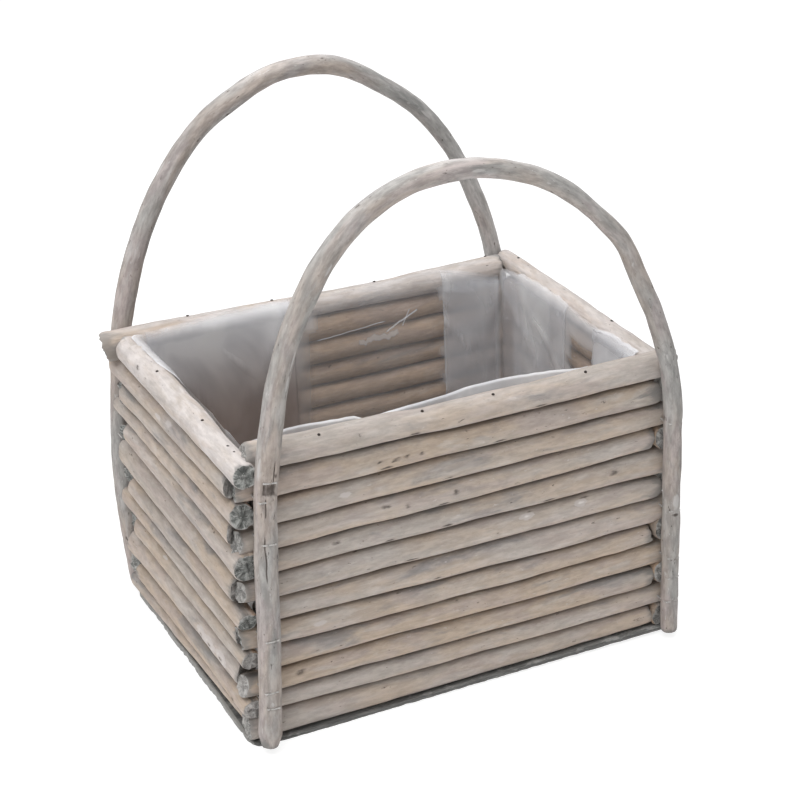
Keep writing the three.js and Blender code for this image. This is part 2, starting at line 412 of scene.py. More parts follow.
def rough_end(rng, across, up, waves=10):
    """Torn fibres of a cut end, about -1 to 1."""
    rough = np.zeros_like(across)
    for _ in range(waves):
        rate = FULL_TURN / rng.uniform(2.5 * MM, 9 * MM)
        way = rng.uniform(0, FULL_TURN)
        rough += np.sin(rate * (across * math.cos(way) + up * math.sin(way)) + rng.uniform(0, FULL_TURN))
    return rough / math.sqrt(waves)


def ease(value, low, high):
    """0 below low, 1 above high, and smooth between them."""
    share = np.clip((value - low) / (high - low), 0, 1)
    return share * share * (3 - 2 * share)


def plateau(value, rise, fall):
    """Rises smoothly from 0 to 1 in one range of values and falls back to 0 in another."""
    return ease(value, *rise) * (1 - ease(value, *fall))


def spot(along, angle, radius, place, turn, length, width):
    """1 at a place on a rod's side, falling smoothly to nothing a length and a width across."""
    across = radius * (np.mod(angle - turn + math.pi, FULL_TURN) - math.pi)
    return np.exp(-8 * ((along - place) / length) ** 2 - 8 * (across / width) ** 2)


# Meshes

def vertex_places(mesh):
    flat = np.empty(3 * len(mesh.vertices), np.float32)
    mesh.vertices.foreach_get("co", flat)
    return flat.reshape(-1, 3).astype(float)


def move_vertices(mesh, places):
    mesh.vertices.foreach_set("co", places.astype(np.float32).ravel())
    mesh.update()


def write_vectors(mesh, name, columns):
    attribute = mesh.attributes.new(name, "FLOAT_VECTOR", "POINT")
    attribute.data.foreach_set("vector", np.stack(columns, 1).astype(np.float32).ravel())


def write_numbers(mesh, name, numbers):
    attribute = mesh.attributes.new(name, "FLOAT", "POINT")
    attribute.data.foreach_set("value", numbers.astype(np.float32))


def mesh_from(bm, name):
    mesh = bpy.data.meshes.new(name)
    bm.to_mesh(mesh)
    bm.free()
    return mesh


def add_piece(name, mesh, finishes, nodes=()):
    """Links a finished mesh as a piece of the basket that stands for the given solids."""
    piece = bpy.data.objects.new(name, mesh)
    bpy.context.scene.collection.objects.link(piece)
    for finish in finishes:
        mesh.materials.append(finish)
    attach(piece, BODY)
    if nodes:
        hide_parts(*nodes)
    return piece


# Widths of the rings on a rod's ends as shares of the radius, and how far its own rings crowd to the ends
END_RINGS = (0.06, 0.14, 0.2, 0.2, 0.2)
END_BUNCH = 0.75


def unit_rod(name, sides, rings):
    """A closed rod of radius 1 from z = 0 to 1. Its ends are finely divided and use the second finish."""
    bm = bmesh.new()
    bmesh.ops.create_cone(
        bm,
        cap_ends=True,
        cap_tris=False,
        segments=sides,
        radius1=1,
        radius2=1,
        depth=1,
        matrix=Matrix.Translation((0, 0, 0.5)),
    )
    ends = [face for face in bm.faces if len(face.verts) == sides]
    lengthwise = [edge for edge in bm.edges if not any(face in ends for face in edge.link_faces)]
    bmesh.ops.subdivide_edges(bm, edges=lengthwise, cuts=rings - 1, use_grid_fill=True)
    for step in END_RINGS:
        bmesh.ops.inset_region(bm, faces=ends, thickness=step, use_even_offset=True)
    bmesh.ops.poke(bm, faces=ends)
    bm.normal_update()
    for face in bm.faces:
        face.smooth = True
        face.material_index = int(abs(face.normal.z) > 0.5)
    for edge in bm.edges:
        edge.smooth = len({face.material_index for face in edge.link_faces}) == 1
    return mesh_from(bm, name)


def rod_grid(mesh):
    """Each vertex of a unit rod as its share of the length, its share of the radius and its angle."""
    places = vertex_places(mesh)
    share = places[:, 2] - END_BUNCH * np.sin(FULL_TURN * places[:, 2]) / FULL_TURN
    reach = np.hypot(places[:, 0], places[:, 1])
    angle = np.arctan2(places[:, 1], places[:, 0])
    return share, reach, angle


# Walls

class Wall:
    """One wall. Going round anticlockwise, along points from its start corner to its end corner."""

    def __init__(self, number, name, outward, side_name):
        self.number = number
        self.name = name
        self.outward = np.array(outward, float)
        self.along = np.array((-outward[1], outward[0], 0), float)
        self.plane = outer_plane(name, self.outward)
        self.half = outer_plane(side_name, np.abs(self.along))
        self.long = self.half > self.plane

    def node(self, layer):
        return f"{self.name}_top_rail" if layer == RAIL else f"{self.name}_stick_{layer + 1:02d}"

    def share(self, along):
        """Shares of the wall's length at places along it."""
        return (along + self.half) / (2 * self.half)


def outer_plane(wall_name, outward):
    """Distance from the middle of the basket to the outer face of a wall."""
    low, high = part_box(f"{wall_name}_stick_05")
    return max(abs(np.dot(low, outward)), abs(np.dot(high, outward)))


WALLS = (
    Wall(0, "front", (0, -1, 0), "right"),
    Wall(1, "right", (1, 0, 0), "front"),
    Wall(2, "back", (0, 1, 0), "right"),
    Wall(3, "left", (-1, 0, 0), "front"),
)


def usual_size(layer):
    low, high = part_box(WALLS[0].node(layer))
    return high.z - low.z


def layer_turn(layer):
    """1 in the layers that go round anticlockwise, as the rails do, and -1 in the others."""
    return 1 if (RAIL - layer) % 2 == 0 else -1


def filling(pitches, drop):
    """Stick sizes from layer heights that are brought to the height of the wall less a drop."""
    return pitches * (WALL_TOP - BOARD_TOP - drop) / pitches.sum() - LAYER_GAP


def wall_sizes():
    """The thickness of every layer at the start, the middle and the end of each wall, by wall name."""
    rng = seeded(1)
    usual = np.array([usual_size(layer) for layer in range(LAYERS)]) + LAYER_GAP
    spread = 1.7 * MM
    pitches = {wall.name: usual + rng.uniform(-spread, spread, (3, LAYERS)) for wall in WALLS}
    pitches["front"] = MM * np.array(FRONT_SIZES[::-1], float).T
    pitches["left"] = MM * np.array(LEFT_SIZES[::-1], float).T
    pitches["back"][1, -len(BACK_SIZES):] = MM * np.array(BACK_SIZES[::-1])
    pitches["right"][:, RAIL] = MM * np.array(RIGHT_RAIL_SIZES)
    return {
        name: np.stack([filling(column, drop * MM) for column, drop in zip(columns, RAIL_DROPS[name])])
        for name, columns in pitches.items()
    }


WALL_SIZES = wall_sizes()


def along_wall(share):
    """Weights of the values at a wall's start, middle and end, for shares of its length."""
    return np.stack([(1 - share) * (1 - 2 * share), 4 * share * (1 - share), share * (2 * share - 1)], 1)


def foot_lift(wall, edge, share):
    """How far the line under a layer, counted from the board up, is lifted by the foot of its wall."""
    if wall.name not in FOOT_LIFTS:
        return 0
    fade = max(0, 1 - edge / FOOT_LAYERS[wall.name])
    return fade * MM * (along_wall(share) @ np.array(FOOT_LIFTS[wall.name]))


def layer_sizes(wall, share):
    """Thickness of every layer at shares of a wall's length: a row for each share."""
    return along_wall(share) @ WALL_SIZES[wall.name]


def edge_line(wall, lower_layer, share, settings):
    """How far the line above a layer sways, and the extra air along it, at shares of the wall's length."""
    if lower_layer < 0:
        return np.zeros_like(share), np.zeros_like(share)
    rng = seeded(2, wall.number, lower_layer)
    calm = np.clip(np.sin(math.pi * np.clip(share, 0, 1)), 0, 1) ** 0.5
    length = 2 * wall.half
    sway = settings.sway * calm * wander(rng, share * length, 260 * MM, 60 * MM)
    air = settings.loose_gap * ease(wander(rng, share * length, 150 * MM, 40 * MM), -0.2, 1.4)
    return sway, air


def layer_edges(wall, layer, share, settings):
    """Heights of the lower and the upper edge of a layer's stick at shares of its wall's length."""
    sizes = layer_sizes(wall, share)
    low = BOARD_TOP + (layer + 1) * LAYER_GAP + sizes[:, :layer].sum(1)
    high = low + sizes[:, layer] + foot_lift(wall, layer + 1, share)
    low = low + foot_lift(wall, layer, share)
    if wall.name == "left" and layer == RAIL:
        low, high = (line - RAIL_HANG * MM * ease(share, *HANG_RUN) for line in (low, high))
    if layer == RAIL:
        places, dips = zip(*RAIL_DIPS[wall.name])
        high = high - MM * np.interp((share - 0.5) * 2 * wall.half / MM, places, dips)
    sway_low, air_low = edge_line(wall, layer - 1, share, settings)
    sway_high, air_high = edge_line(wall, layer, share, settings)
    return low + sway_low + air_low / 2, high + sway_high - air_high / 2


# A stick's half depth as shares of its own thickness and of the usual one of its layer
OWN_DEPTH = 0.3
USUAL_DEPTH = 0.2


def depth_radius(size, layer, settings):
    """Half the depth of a stick of a given thickness, measured into the basket."""
    return np.minimum(OWN_DEPTH * size + USUAL_DEPTH * usual_size(layer), settings.deepest / 2)


# Ranges in millimetres: how far the thick ends stand past the next wall, on the long and on the short
# walls, and the gap between a thin end and the wall before it, which is closer on the left wall
LONG_PAST = (-1.2, 0.6)
SHORT_PAST = (-1.6, -0.4)
THIN_GAP = (0.8, 3.5)
LEFT_THIN_GAP = (-1.5, -0.5)


def stick_ends(wall, layer, rng, settings):
    """Where a stick starts and ends along its wall, measured from the middle of the wall."""
    turn = layer_turn(layer)
    from_rail = LAYERS - layer
    sizes = WALL_SIZES[wall.name][:, layer]
    thin_corner = sizes[0] if turn > 0 else sizes[2]
    neighbour = 2 * depth_radius(thin_corner, layer, settings)
    past = rng.uniform(*(LONG_PAST if wall.long else SHORT_PAST))
    gap = rng.uniform(*THIN_GAP)
    if wall.name == "back" and turn > 0:
        past -= BACK_SHORT
    if wall.name == "left" and turn < 0:
        gap = rng.uniform(*LEFT_THIN_GAP)
    if wall.name == "front" and from_rail in LAPPED_LAYERS:
        gap = 0
    if wall.name == "right" and from_rail in LAPPED_LAYERS:
        past -= LAP_SHORT
    if layer == RAIL:
        past = RAIL_ENDS.get(wall.name, past)
        gap = -RAIL_REACH.get(wall.name, -gap)
    if wall.name == "front" and from_rail in FRONT_ENDS:
        past = -FRONT_ENDS[from_rail][0]
    thick_end = wall.half + past * MM
    thin_end = wall.half - neighbour - gap * MM
    return (-thin_end, thick_end) if turn > 0 else (-thick_end, thin_end)


# How pale the rails are, from 0 to 1
RAIL_BLEACH = {"front": 0.3, "right": 0.8, "back": 1.0, "left": 1.0}

# How far two of the rails stand past the next wall, in millimetres
RAIL_ENDS = {"back": 3.5, "left": 4}

# How far the rails' thin ends reach on towards the narrow ends of their neighbours, in millimetres
RAIL_REACH = {"front": 3.6, "right": 1.5, "back": 5}

# How far the left ends of the back wall's sticks stop short of the left wall's face, in millimetres
BACK_SHORT = 5

# How far the cut ends are bleached, by wall, and the left wall's dark ends by layer, counted from the
# rail as 1
END_FADES = {"front": 0.75, "right": 0.6, "back": 0.25, "left": 0.95}
LEFT_DARK_ENDS = (1, 3, 5, 7)
DARK_END_FADE = 0.1

# How far the stain of a cut end reaches along a stick, by wall, and along the back rail
TIP_LENGTHS = {"front": 7 * MM, "right": 6 * MM, "back": 7 * MM, "left": 3.5 * MM}
BACK_RAIL_TIP = 14 * MM

# Slopes of the cuts at the front ends of the left wall's sticks and at the lapping ends of the front wall's
LEFT_MITRE = -0.75
LAP_MITRE = -0.7

# How much slimmer the right rail gets towards its back end, and where
RIGHT_RAIL_SLIMMER = 0.14
SLIMMER_RUN = mm(-20, 90)

# Where the front wall's sticks take on the size of their left ends, measured to the left
FRONT_END_RUN = mm(122, 142)

# Cut ends: their largest slant, the length that slants, and the height of their torn fibres
END_SLANT = 0.32
END_RUN = 5 * MM
END_FIBRES = 0.8 * MM

# How far a stick lies inside its wall's face, in millimetres, and the lengths of its bends
STICK_INSET = (0.1, 0.6)
BEND_LENGTHS = mm(420, 130)

# Directions on a stick: the angle 0 points into the basket, and angles grow over the top of the stick
OUT_SIDE = math.pi
LOW_EDGE = OUT_SIDE + 0.67
FLAKE_TURN = OUT_SIDE - 0.55

# How many knots and scars are strewn over a stick on average, and how far they keep from its ends
STREWN_KNOTS = {"front": 0.9, "right": 0.9, "back": 0.9, "left": 0.35}
STREWN_SCARS = 0.5
MARK_CLEAR = 15 * MM

# Length, width and height of the marks that stand out
MARK_SIZES = {
    "knot": mm(13, 6, 0.3),
    "scar": mm(13, 5, -0.25),
    "flake": mm(13, 5.5, -0.25),
    "crater": mm(13, 7, 0.35),
    "chip": mm(13, 4.5, -0.5),
    "burl": mm(13, 10, 1),
}

# How far the left wall's marks are longer, wider and higher than these
LEFT_MARK_SCALE = (1.3, 1.2, 2)

# How dark the middle of a mark is, how pale it is, and how pale the ring round its middle is
MARK_DARKNESS = {"knot": 0.75, "slit": 1, "chip": 1}
MARK_PALENESS = {"scar": 1, "flake": 1.6}
RING_PALENESS = {"crater": 4.8, "burl": 2.6}

# Burls on the left rail: place along the wall in millimetres, angle and height in millimetres
BURLS = (
    (-77, 2.3, 2.2), (-66, 1.6, 1.2), (-60, 2.7, 1.6), (-45, 2.2, 2.8), (-38, 2.9, 1.5), (-31, 1.4, 1.1),
)


def strewn_marks(wall, rng, start, end):
    """Knots and scars at random places of a stick."""
    marks = []
    first, last = start + MARK_CLEAR, end - MARK_CLEAR
    for _ in range(rng.poisson(STREWN_KNOTS[wall.name])):
        place = rng.uniform(first, last)
        size = (rng.uniform(7, 12) * MM, rng.uniform(4, 7) * MM, rng.uniform(0.1, 0.45) * MM)
        marks.append(("knot", place, rng.uniform(0, FULL_TURN)) + size)
    for _ in range(rng.poisson(STREWN_SCARS)):
        place = rng.uniform(first, last)
        length = rng.uniform(8, 16) * MM
        marks.append(("scar", place, rng.uniform(0, FULL_TURN), length, 4 * MM, -0.25 * MM))
    return marks


def marks_on_layer(marks, from_rail):
    """Kinds and places of the marks on one layer of a wall."""
    places = [(kind, layer, place) for kind, spots in marks.items() for layer, place in spots]
    return [(kind, place * MM) for kind, layer, place in places if layer == from_rail]


def front_marks(from_rail, rng):
    """The marks that stand out on a stick of the front wall."""
    marks = []
    for kind, place in marks_on_layer(FRONT_MARKS, from_rail):
        turn = OUT_SIDE + rng.uniform(-0.5, 0.15)
        length, width, height = MARK_SIZES[kind]
        if kind == "chip":
            turn = LOW_EDGE + rng.uniform(-0.07, 0.07)
            length *= rng.uniform(0.6, 1.5)
            width *= rng.uniform(0.7, 1.2)
        elif kind == "flake":
            turn = FLAKE_TURN
        marks.append((kind, place, turn, length, width, height))
    if from_rail == DASH_LAYER:
        for place in DASH_PLACES:
            turn = OUT_SIDE + rng.uniform(-0.12, 0.12)
            marks.append(("slit", place * MM, turn, rng.uniform(5.5, 8) * MM, 3 * MM, -0.2 * MM))
    return marks


def left_marks(from_rail, rng):
    """The marks that stand out on a stick of the left wall, with the burls of its rail."""
    marks = []
    for kind, place in marks_on_layer(LEFT_MARKS, from_rail):
        turn = OUT_SIDE + rng.uniform(-0.7, 0)
        if kind == "crater":
            turn = OUT_SIDE
        size = (scale * measure for scale, measure in zip(LEFT_MARK_SCALE, MARK_SIZES[kind]))
        marks.append((kind, place, turn, *size))
    if from_rail == 1:
        length, width, unit = MARK_SIZES["burl"]
        marks += [("burl", place * MM, turn, length, width, height * unit) for place, turn, height in BURLS]
    return marks


def stick_marks(wall, layer, rng, start, end):
    """Marks on a stick: kind, place along the wall, angle, length, width and height."""
    marks = strewn_marks(wall, rng, start, end)
    if wall.name == "front":
        marks += front_marks(LAYERS - layer, rng)
    if wall.name == "left":
        marks += left_marks(LAYERS - layer, rng)
    return marks


def press_marks(marks, along, angle, radius):
    """The height of the marks on a rod's skin, and how much of a knot or a scar each vertex shows."""
    height = np.zeros_like(along)
    knot = np.zeros_like(along)
    scar = np.zeros_like(along)
    for kind, place, turn, length, width, mark_height in marks:
        there = spot(along, angle, radius, place, turn, length, width)
        ring = there * (1 - there)
        height += mark_height * there
        knot = np.maximum(knot, MARK_DARKNESS.get(kind, 0) * there)
        scar = np.maximum(scar, MARK_PALENESS.get(kind, 0) * there)
        scar = np.maximum(scar, RING_PALENESS.get(kind, 0) * ring)
        if kind == "flake":
            above = spot(along, angle, radius, place + 0.2 * length, turn - 0.3, length, 3 * MM)
            knot = np.maximum(knot, 0.85 * above * (1 - there))
        elif kind == "crater":
            knot = np.maximum(knot, 0.62 * ease(there, 0.6, 0.85))
    return height, knot, scar


def squarish(wave):
    """A sine or cosine that makes a slightly squared ring instead of a round one."""
    return np.sign(wave) * np.abs(wave) ** 0.92


def shape_stick(mesh, wall, layer, settings):
    """Bends a unit rod into a wall stick in its place, and writes what its finish reads."""
    rng = seeded(3, wall.number, layer)
    from_rail = LAYERS - layer
    start, end = stick_ends(wall, layer, rng, settings)
    share, reach, angle = rod_grid(mesh)
    along = start + share * (end - start)
    low, high = layer_edges(wall, layer, wall.share(along), settings)
    radius_up = (high - low) / 2
    radius_in = depth_radius(high - low, layer, settings)
    if wall.name == "right" and layer == RAIL:
        radius_in = radius_in * (1 - RIGHT_RAIL_SLIMMER * ease(along, *SLIMMER_RUN))
    if wall.name == "front" and from_rail in FRONT_ENDS:
        larger = FRONT_ENDS[from_rail][1] - 1
        radius_up = radius_up * (1 + larger * ease(-along, *FRONT_END_RUN))
    marks = stick_marks(wall, layer, rng, start, end)
    height, knot, scar = press_marks(marks, along, angle, radius_up)
    skin = settings.skin * uneven_skin(rng, along, angle) + height
    to_end = np.minimum(along - start, end - along)
    worn = 1 - 0.06 * np.exp(-to_end / settings.end_round)
    across = reach * worn * squarish(np.cos(angle)) * (radius_in + skin)
    up = reach * worn * squarish(np.sin(angle)) * (radius_up + skin)
    slant = rng.uniform(-END_SLANT, END_SLANT, 2)
    nearer = np.exp(-to_end / END_RUN)
    mitre = np.full_like(along, slant[0])
    if wall.name == "left" and layer_turn(layer) < 0:
        mitre[along > 0] = LEFT_MITRE
    if wall.name == "front" and from_rail in LAPPED_LAYERS:
        mitre[along > 0] = LAP_MITRE
    along = along + nearer * (mitre * across + slant[1] * up)
    along = along + END_FIBRES * rough_end(rng, across, up) * nearer * np.where(reach > 0.99, 0.7, 1)
    inset = rng.uniform(*STICK_INSET) * MM
    inset = inset + settings.crook * (1 + wander(rng, along, *BEND_LENGTHS, 3)) / 2
    out = wall.plane - inset - radius_in - across
    if wall.name == "left" and layer == RAIL:
        out = out - RAIL_TUCK * MM * ease(along, *TUCK_RUN)
    if wall.name == "left" and layer == 0:
        out = out - MM * np.interp(along, (-wall.half, wall.half), FOOT_TUCK)
    places = np.outer(along, wall.along) + np.outer(out, wall.outward)
    places[:, 2] += (low + high) / 2 + up
    move_vertices(mesh, places)
    offset = rng.uniform(-9, 9, 3)
    write_vectors(mesh, "grain", (along + offset[0], across + offset[1], up + offset[2]))
    tip_length = BACK_RAIL_TIP if wall.name == "back" and layer == RAIL else TIP_LENGTHS[wall.name]
    tip = (1 if wall.long else 0.75) * np.exp(-to_end / tip_length)
    write_vectors(mesh, "wear", (knot, scar, tip))
    write_vectors(mesh, "cut", (reach * np.cos(angle), reach * np.sin(angle), reach))
    shade_stick(mesh, wall, layer, rng, along, angle)


def shade_stick(mesh, wall, layer, rng, along, angle):
    """Writes how a stick lies in the shade, and how far it and its ends are bleached."""
    from_rail = LAYERS - layer
    inner = ease(np.cos(angle), 0, 0.6)
    # Painted shade across the stick: low at its lower edge and rising to its top, where the stick above
    # shades it, and weaker on its inner side
    upper = (1 + np.sin(angle)) / 2 * (1 - 0.45 * inner)
    # The rails have no stick above them, so their tops get no painted shade; only their lower sides are
    # painted lighter
    if layer == RAIL:
        upper = np.minimum(upper, 0.45)
    tone = np.full_like(along, rng.uniform(-1, 1)) + (1.5 if layer == RAIL else 4) * inner
    write_vectors(mesh, "joint", (upper, ease(-np.sin(angle), 0.75, 0.97), tone))
    if layer == RAIL:
        bleach = np.full_like(along, RAIL_BLEACH[wall.name])
    else:
        bleach = rng.uniform(0, 0.3) * (1 - inner)
    if layer == RAIL and wall.name == "back":
        bleach = bleach * (1 - 0.3 * ease(along, 78 * MM, 100 * MM))
    write_numbers(mesh, "bleach", bleach)
    if wall.name == "left" and from_rail in LEFT_DARK_ENDS:
        fade = DARK_END_FADE
    else:
        fade = END_FADES[wall.name] + rng.uniform(-0.15, 0.05)
    if wall.name == "front" and from_rail in FRONT_ENDS:
        fade = FRONT_ENDS[from_rail][2]
    write_numbers(mesh, "fade", np.full_like(along, fade))


def add_sticks(layers, settings):
    """Builds the sticks of the given layers in all four walls."""
    wood = willow_finish("washed_willow", settings, bpy.context.scene.basket_sticks)
    ends = end_grain_finish("willow_end_grain")
    for wall in WALLS:
        rings = round(2 * wall.half / settings.ring_step)
        rod = unit_rod("rod", settings.sides, rings)
        for layer in layers:
            node = wall.node(layer)
            mesh = rod.copy()
            mesh.name = f"{node}_willow"
            shape_stick(mesh, wall, layer, settings)
            add_piece(f"{node}_willow", mesh, (wood, ends), (node,))
        bpy.data.meshes.remove(rod)


# Handles

# Where the arches hang below their even curves: place along the basket, half width and depth in millimetres
ARCH_SAGS = {"front": ((32, 22, 1.8),), "back": ((-45, 20, 2.3), (58, 22, 3.4))}

# Where the front arch's right flank stands out: height, half height and depth in millimetres
FLANK_BULGE = (279, 16, 3.2)

# How far the front right leg lies to the right, and the heights over which this ends
RIGHT_LEG_SHIFT = 1.2 * MM
SHIFT_END = mm(190, 250)

# Where the rods are thinner: middle and half width as shares of their length, and by what share
THIN_STRETCHES = {"front": (0.6, 0.09, 0.16), "back": (0.635, 0.06, 0.12)}

# Radii of a rod at its butt and its tip, its distance from the wall, and how far below the wall's top the
# arch begins
ROD_BUTT = 7.1 * MM
ROD_TIP = 5.5 * MM
ROD_CLEAR = 0.3 * MM
SHOULDER_DROP = 36 * MM


def bump(value, middle, width):
    """1 at the middle, falling smoothly to 0 on both sides."""
    return np.exp(-(((value - middle) / width) ** 2))


class Handle:
    """The axis of one bent rod, from its left foot over the arch to its right foot."""

    SAMPLES = 3000

    def __init__(self, name, outward, feet, lean, bow, left_bend, right_bend, crook=((0, 0), (1, 0))):
        low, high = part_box(f"{name}_handle")
        self.name = name
        self.outward = outward
        self.foot = low.z
        self.left_foot, self.right_foot = feet
        self.shoulder = WALL_TOP - SHOULDER_DROP
        self.rise = high.z - (ROD_BUTT + ROD_TIP) / 2 - self.shoulder
        self.lean = lean
        self.bow = bow
        self.wall_face = outer_plane(name, np.array((0, 1, 0))) + ROD_CLEAR
        self.left_bend = left_bend
        self.right_bend = right_bend
        self.crook = MM * np.array(crook)
        self.line = self.trace()
        steps = np.linalg.norm(np.diff(self.line, axis=0), axis=1)
        self.run = np.concatenate([[0], np.cumsum(steps)])
        self.length = self.run[-1]

    def radius(self, share):
        return ROD_BUTT + (ROD_TIP - ROD_BUTT) * share

    def trace(self):
        """Points of the axis: two legs and an arch of two superelliptic quarters."""
        leg = self.shoulder - self.foot
        leg_share = leg / (2 * leg + math.pi * math.sqrt(self.right_foot * self.rise))
        share = np.linspace(0, 1, self.SAMPLES)
        angle = math.pi * (1 - np.clip((share - leg_share) / (1 - 2 * leg_share), 0, 1))
        left = angle > math.pi / 2
        crown = np.where(left, self.left_bend[0], self.right_bend[0])
        flank = np.where(left, self.left_bend[1], self.right_bend[1])
        reach = np.abs(np.cos(angle)) ** (2 / crown)
        x = np.where(left, -(self.left_foot - self.lean) * reach, self.right_foot * reach)
        z = self.shoulder + self.rise * np.clip(np.sin(angle), 0, 1) ** (2 / flank)
        up_left = np.clip(share / leg_share, 0, 1)
        up_right = np.clip((1 - share) / leg_share, 0, 1)
        bowed = self.left_foot - self.lean * up_left + self.bow * np.sin(math.pi * up_left)
        x = np.where(share < leg_share, -bowed, x)
        z = np.where(share < leg_share, self.foot + up_left * leg, z)
        x = np.where(share > 1 - leg_share, self.right_foot, x)
        z = np.where(share > 1 - leg_share, self.foot + up_right * leg, z)
        for place, width, depth in ARCH_SAGS[self.name]:
            z = z - depth * MM * bump(x, place * MM, width * MM)
        bulge = np.zeros_like(z)
        if self.name == "front":
            height, width, depth = FLANK_BULGE
            bulge = depth * MM * bump(z, height * MM, width * MM)
            bulge += RIGHT_LEG_SHIFT * (1 - ease(z, *SHIFT_END))
        x = x + np.where(left, np.interp(z, self.crook[:, 0], self.crook[:, 1]), bulge)
        y = self.outward * (self.wall_face + self.radius(share))
        return np.stack([x, y, z], 1)

    def points(self, run):
        """Points of the axis at lengths along the rod."""
        return np.stack([np.interp(run, self.run, self.line[:, axis]) for axis in range(3)], 1)

    def at(self, run):
        """Points of the axis and its directions at lengths along the rod."""
        way = self.points(run + MM) - self.points(run - MM)
        return self.points(run), way / np.linalg.norm(way, axis=1, keepdims=True)

    def run_at_height(self, side, height):
        """Length along the rod to a height on its left or right leg or the lower part of its arch."""
        half = self.SAMPLES // 2
        heights, runs = self.line[:, 2], self.run
        if side == "left":
            return np.interp(height, heights[:half], runs[:half])
        return np.interp(height, heights[:half:-1], runs[:half:-1])


# Exponents of the arches' quarters, for the crown and for the flank
SLACK_BEND = (2.1, 1.65)
FULL_BEND = (2.45, 1.77)

# The front left leg's crook: how far it lies to the right at heights above the ground, in millimetres
CROOK = (
    (0, 0), (15, 0.3), (40, 1.1), (80, 1.2), (140, 1.2), (165, 1.5), (182, 2.4), (198, 3), (212, 2.7),
    (235, 1.5), (260, 0.8), (290, 0.3), (315, 0),
)
HANDLES = {
    "front": Handle("front", -1, mm(137.6, 140.9), 6 * MM, 0, FULL_BEND, SLACK_BEND, CROOK),
    "back": Handle("back", 1, mm(139.5, 142), 0, 5 * MM, SLACK_BEND, SLACK_BEND),
}


def staple_heights(name, side):
    """Heights of all the staples on one leg: those in the solids and the extra ones."""
    solid = [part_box(f"{name}_{side}_{level}_staple") for level in ("upper", "lower")]
    return [(low.z + high.z) / 2 for low, high in solid] + list(mm(*EXTRA_STAPLES[name, side]))


# Heights of a nick in the front right leg, painted dark as the shadow under the staple just above it, and of
# the bare patch above it, in millimetres
NICK_HEIGHTS = (90.5, 100)

# Scars on a rod
ROD_SCARS = 12


def rod_marks(handle, rng, settings):
    """Marks on a rod: bud swellings, scars, knots, and the dents of the staples."""
    marks = []
    run = rng.uniform(0.3, 1) * settings.node_step
    turn = rng.uniform(0, FULL_TURN)
    while run < handle.length - 20 * MM:
        marks.append(("swelling", run, turn, 34 * MM, 26 * MM, settings.node_height))
        marks.append(("knot", run, turn, 6 * MM, 3.5 * MM, 0.15 * MM))
        run += rng.uniform(0.6, 1.4) * settings.node_step
        turn += 2.4 + rng.uniform(-0.5, 0.5)
    for _ in range(ROD_SCARS):
        place = rng.uniform(0.03, 0.97) * handle.length
        turn = rng.uniform(0, FULL_TURN)
        marks.append(("scar", place, turn, rng.uniform(10, 24) * MM, 3 * MM, -0.3 * MM))
    for side in ("left", "right"):
        for height in staple_heights(handle.name, side):
            place = handle.run_at_height(side, height)
            marks.append(("dent", place, 0, 3.6 * MM, 15 * MM, -0.9 * MM))
    if handle.name == "front":
        nick, bare = (handle.run_at_height("right", height * MM) for height in NICK_HEIGHTS)
        # The nick is a shallow dent whose dark colour is the painted shadow of the staple above it
        marks.append(("slit", nick, 0, 3 * MM, 9.5 * MM, -0.5 * MM))
        marks.append(("scar", bare, 0, 16 * MM, 8 * MM, -0.2 * MM))
    return marks


# The split front left leg, as heights and as angles round the rod: two cracks, a notch and a loose tongue
# under it
CRACKS = ((mm(178, 193), 0.25), (mm(116, 147), -0.42))
NOTCH_HEIGHTS = mm(171.5, 178.5)
TONGUE_HEIGHTS = mm(157.5, 170.5)
NOTCH_ANGLES = (-0.72, 0.85)
TONGUE_ANGLES = (-0.35, 0.85)


def crack_depth(handle, run, angle, radius):
    """How deep the split of the front left leg cuts into the rod, and how dark it is."""

    def between(heights, edge):
        low, high = (handle.run_at_height("left", height) for height in heights)
        return plateau(run, (low - edge, low + edge), (high - edge, high + edge))

    def within(angles):
        left, right = angles
        return plateau(angle, (left - 0.06, left + 0.06), (right - 0.06, right + 0.06))

    def slit(heights, turn, edge):
        wavy = angle - turn - 0.06 * np.sin(run * 120) - 0.03 * np.sin(run * 410)
        return np.exp(-((radius * wavy / (0.5 * MM)) ** 2)) * between(heights, edge)

    left, right = TONGUE_ANGLES
    slits = sum(slit(heights, turn, 4 * MM) for heights, turn in CRACKS)
    slits = slits + slit(TONGUE_HEIGHTS, left, 1.5 * MM) + 0.7 * slit(TONGUE_HEIGHTS, right, 1.5 * MM)
    notch = within(NOTCH_ANGLES) * between(NOTCH_HEIGHTS, 0.6 * MM)
    low, high = (handle.run_at_height("left", height) for height in TONGUE_HEIGHTS)
    tongue = within(TONGUE_ANGLES) * between(TONGUE_HEIGHTS, 0.6 * MM)
    lift = tongue * np.clip((run - low) / (high - low), 0, 1)
    depth = 0.8 * MM * slits + 1.9 * MM * notch - 0.6 * MM * lift
    return depth, np.clip(slits + 0.7 * notch, 0, 1)


# How much painted shade darkens the arches' left flanks outside, and how much painted light brightens them
# inside
FLANK_SHADES = {"front": 0.5, "back": 1.0}

# The front left foot is slimmer: by what share, and over what length
FOOT_SLIMMER = 0.26
FOOT_RUN = 10 * MM

# Where stretches of the arches begin and end, as shares of the rod's length
LEFT_FLANK = ((0.22, 0.3), (0.4, 0.48))
FRONT_CROWN = ((0.42, 0.48), (0.58, 0.66))
BACK_RIGHT_FLANK = ((0.62, 0.72), (0.8, 0.9))

# How far the rods' cut ends are bleached
ROD_END_FADE = 0.3


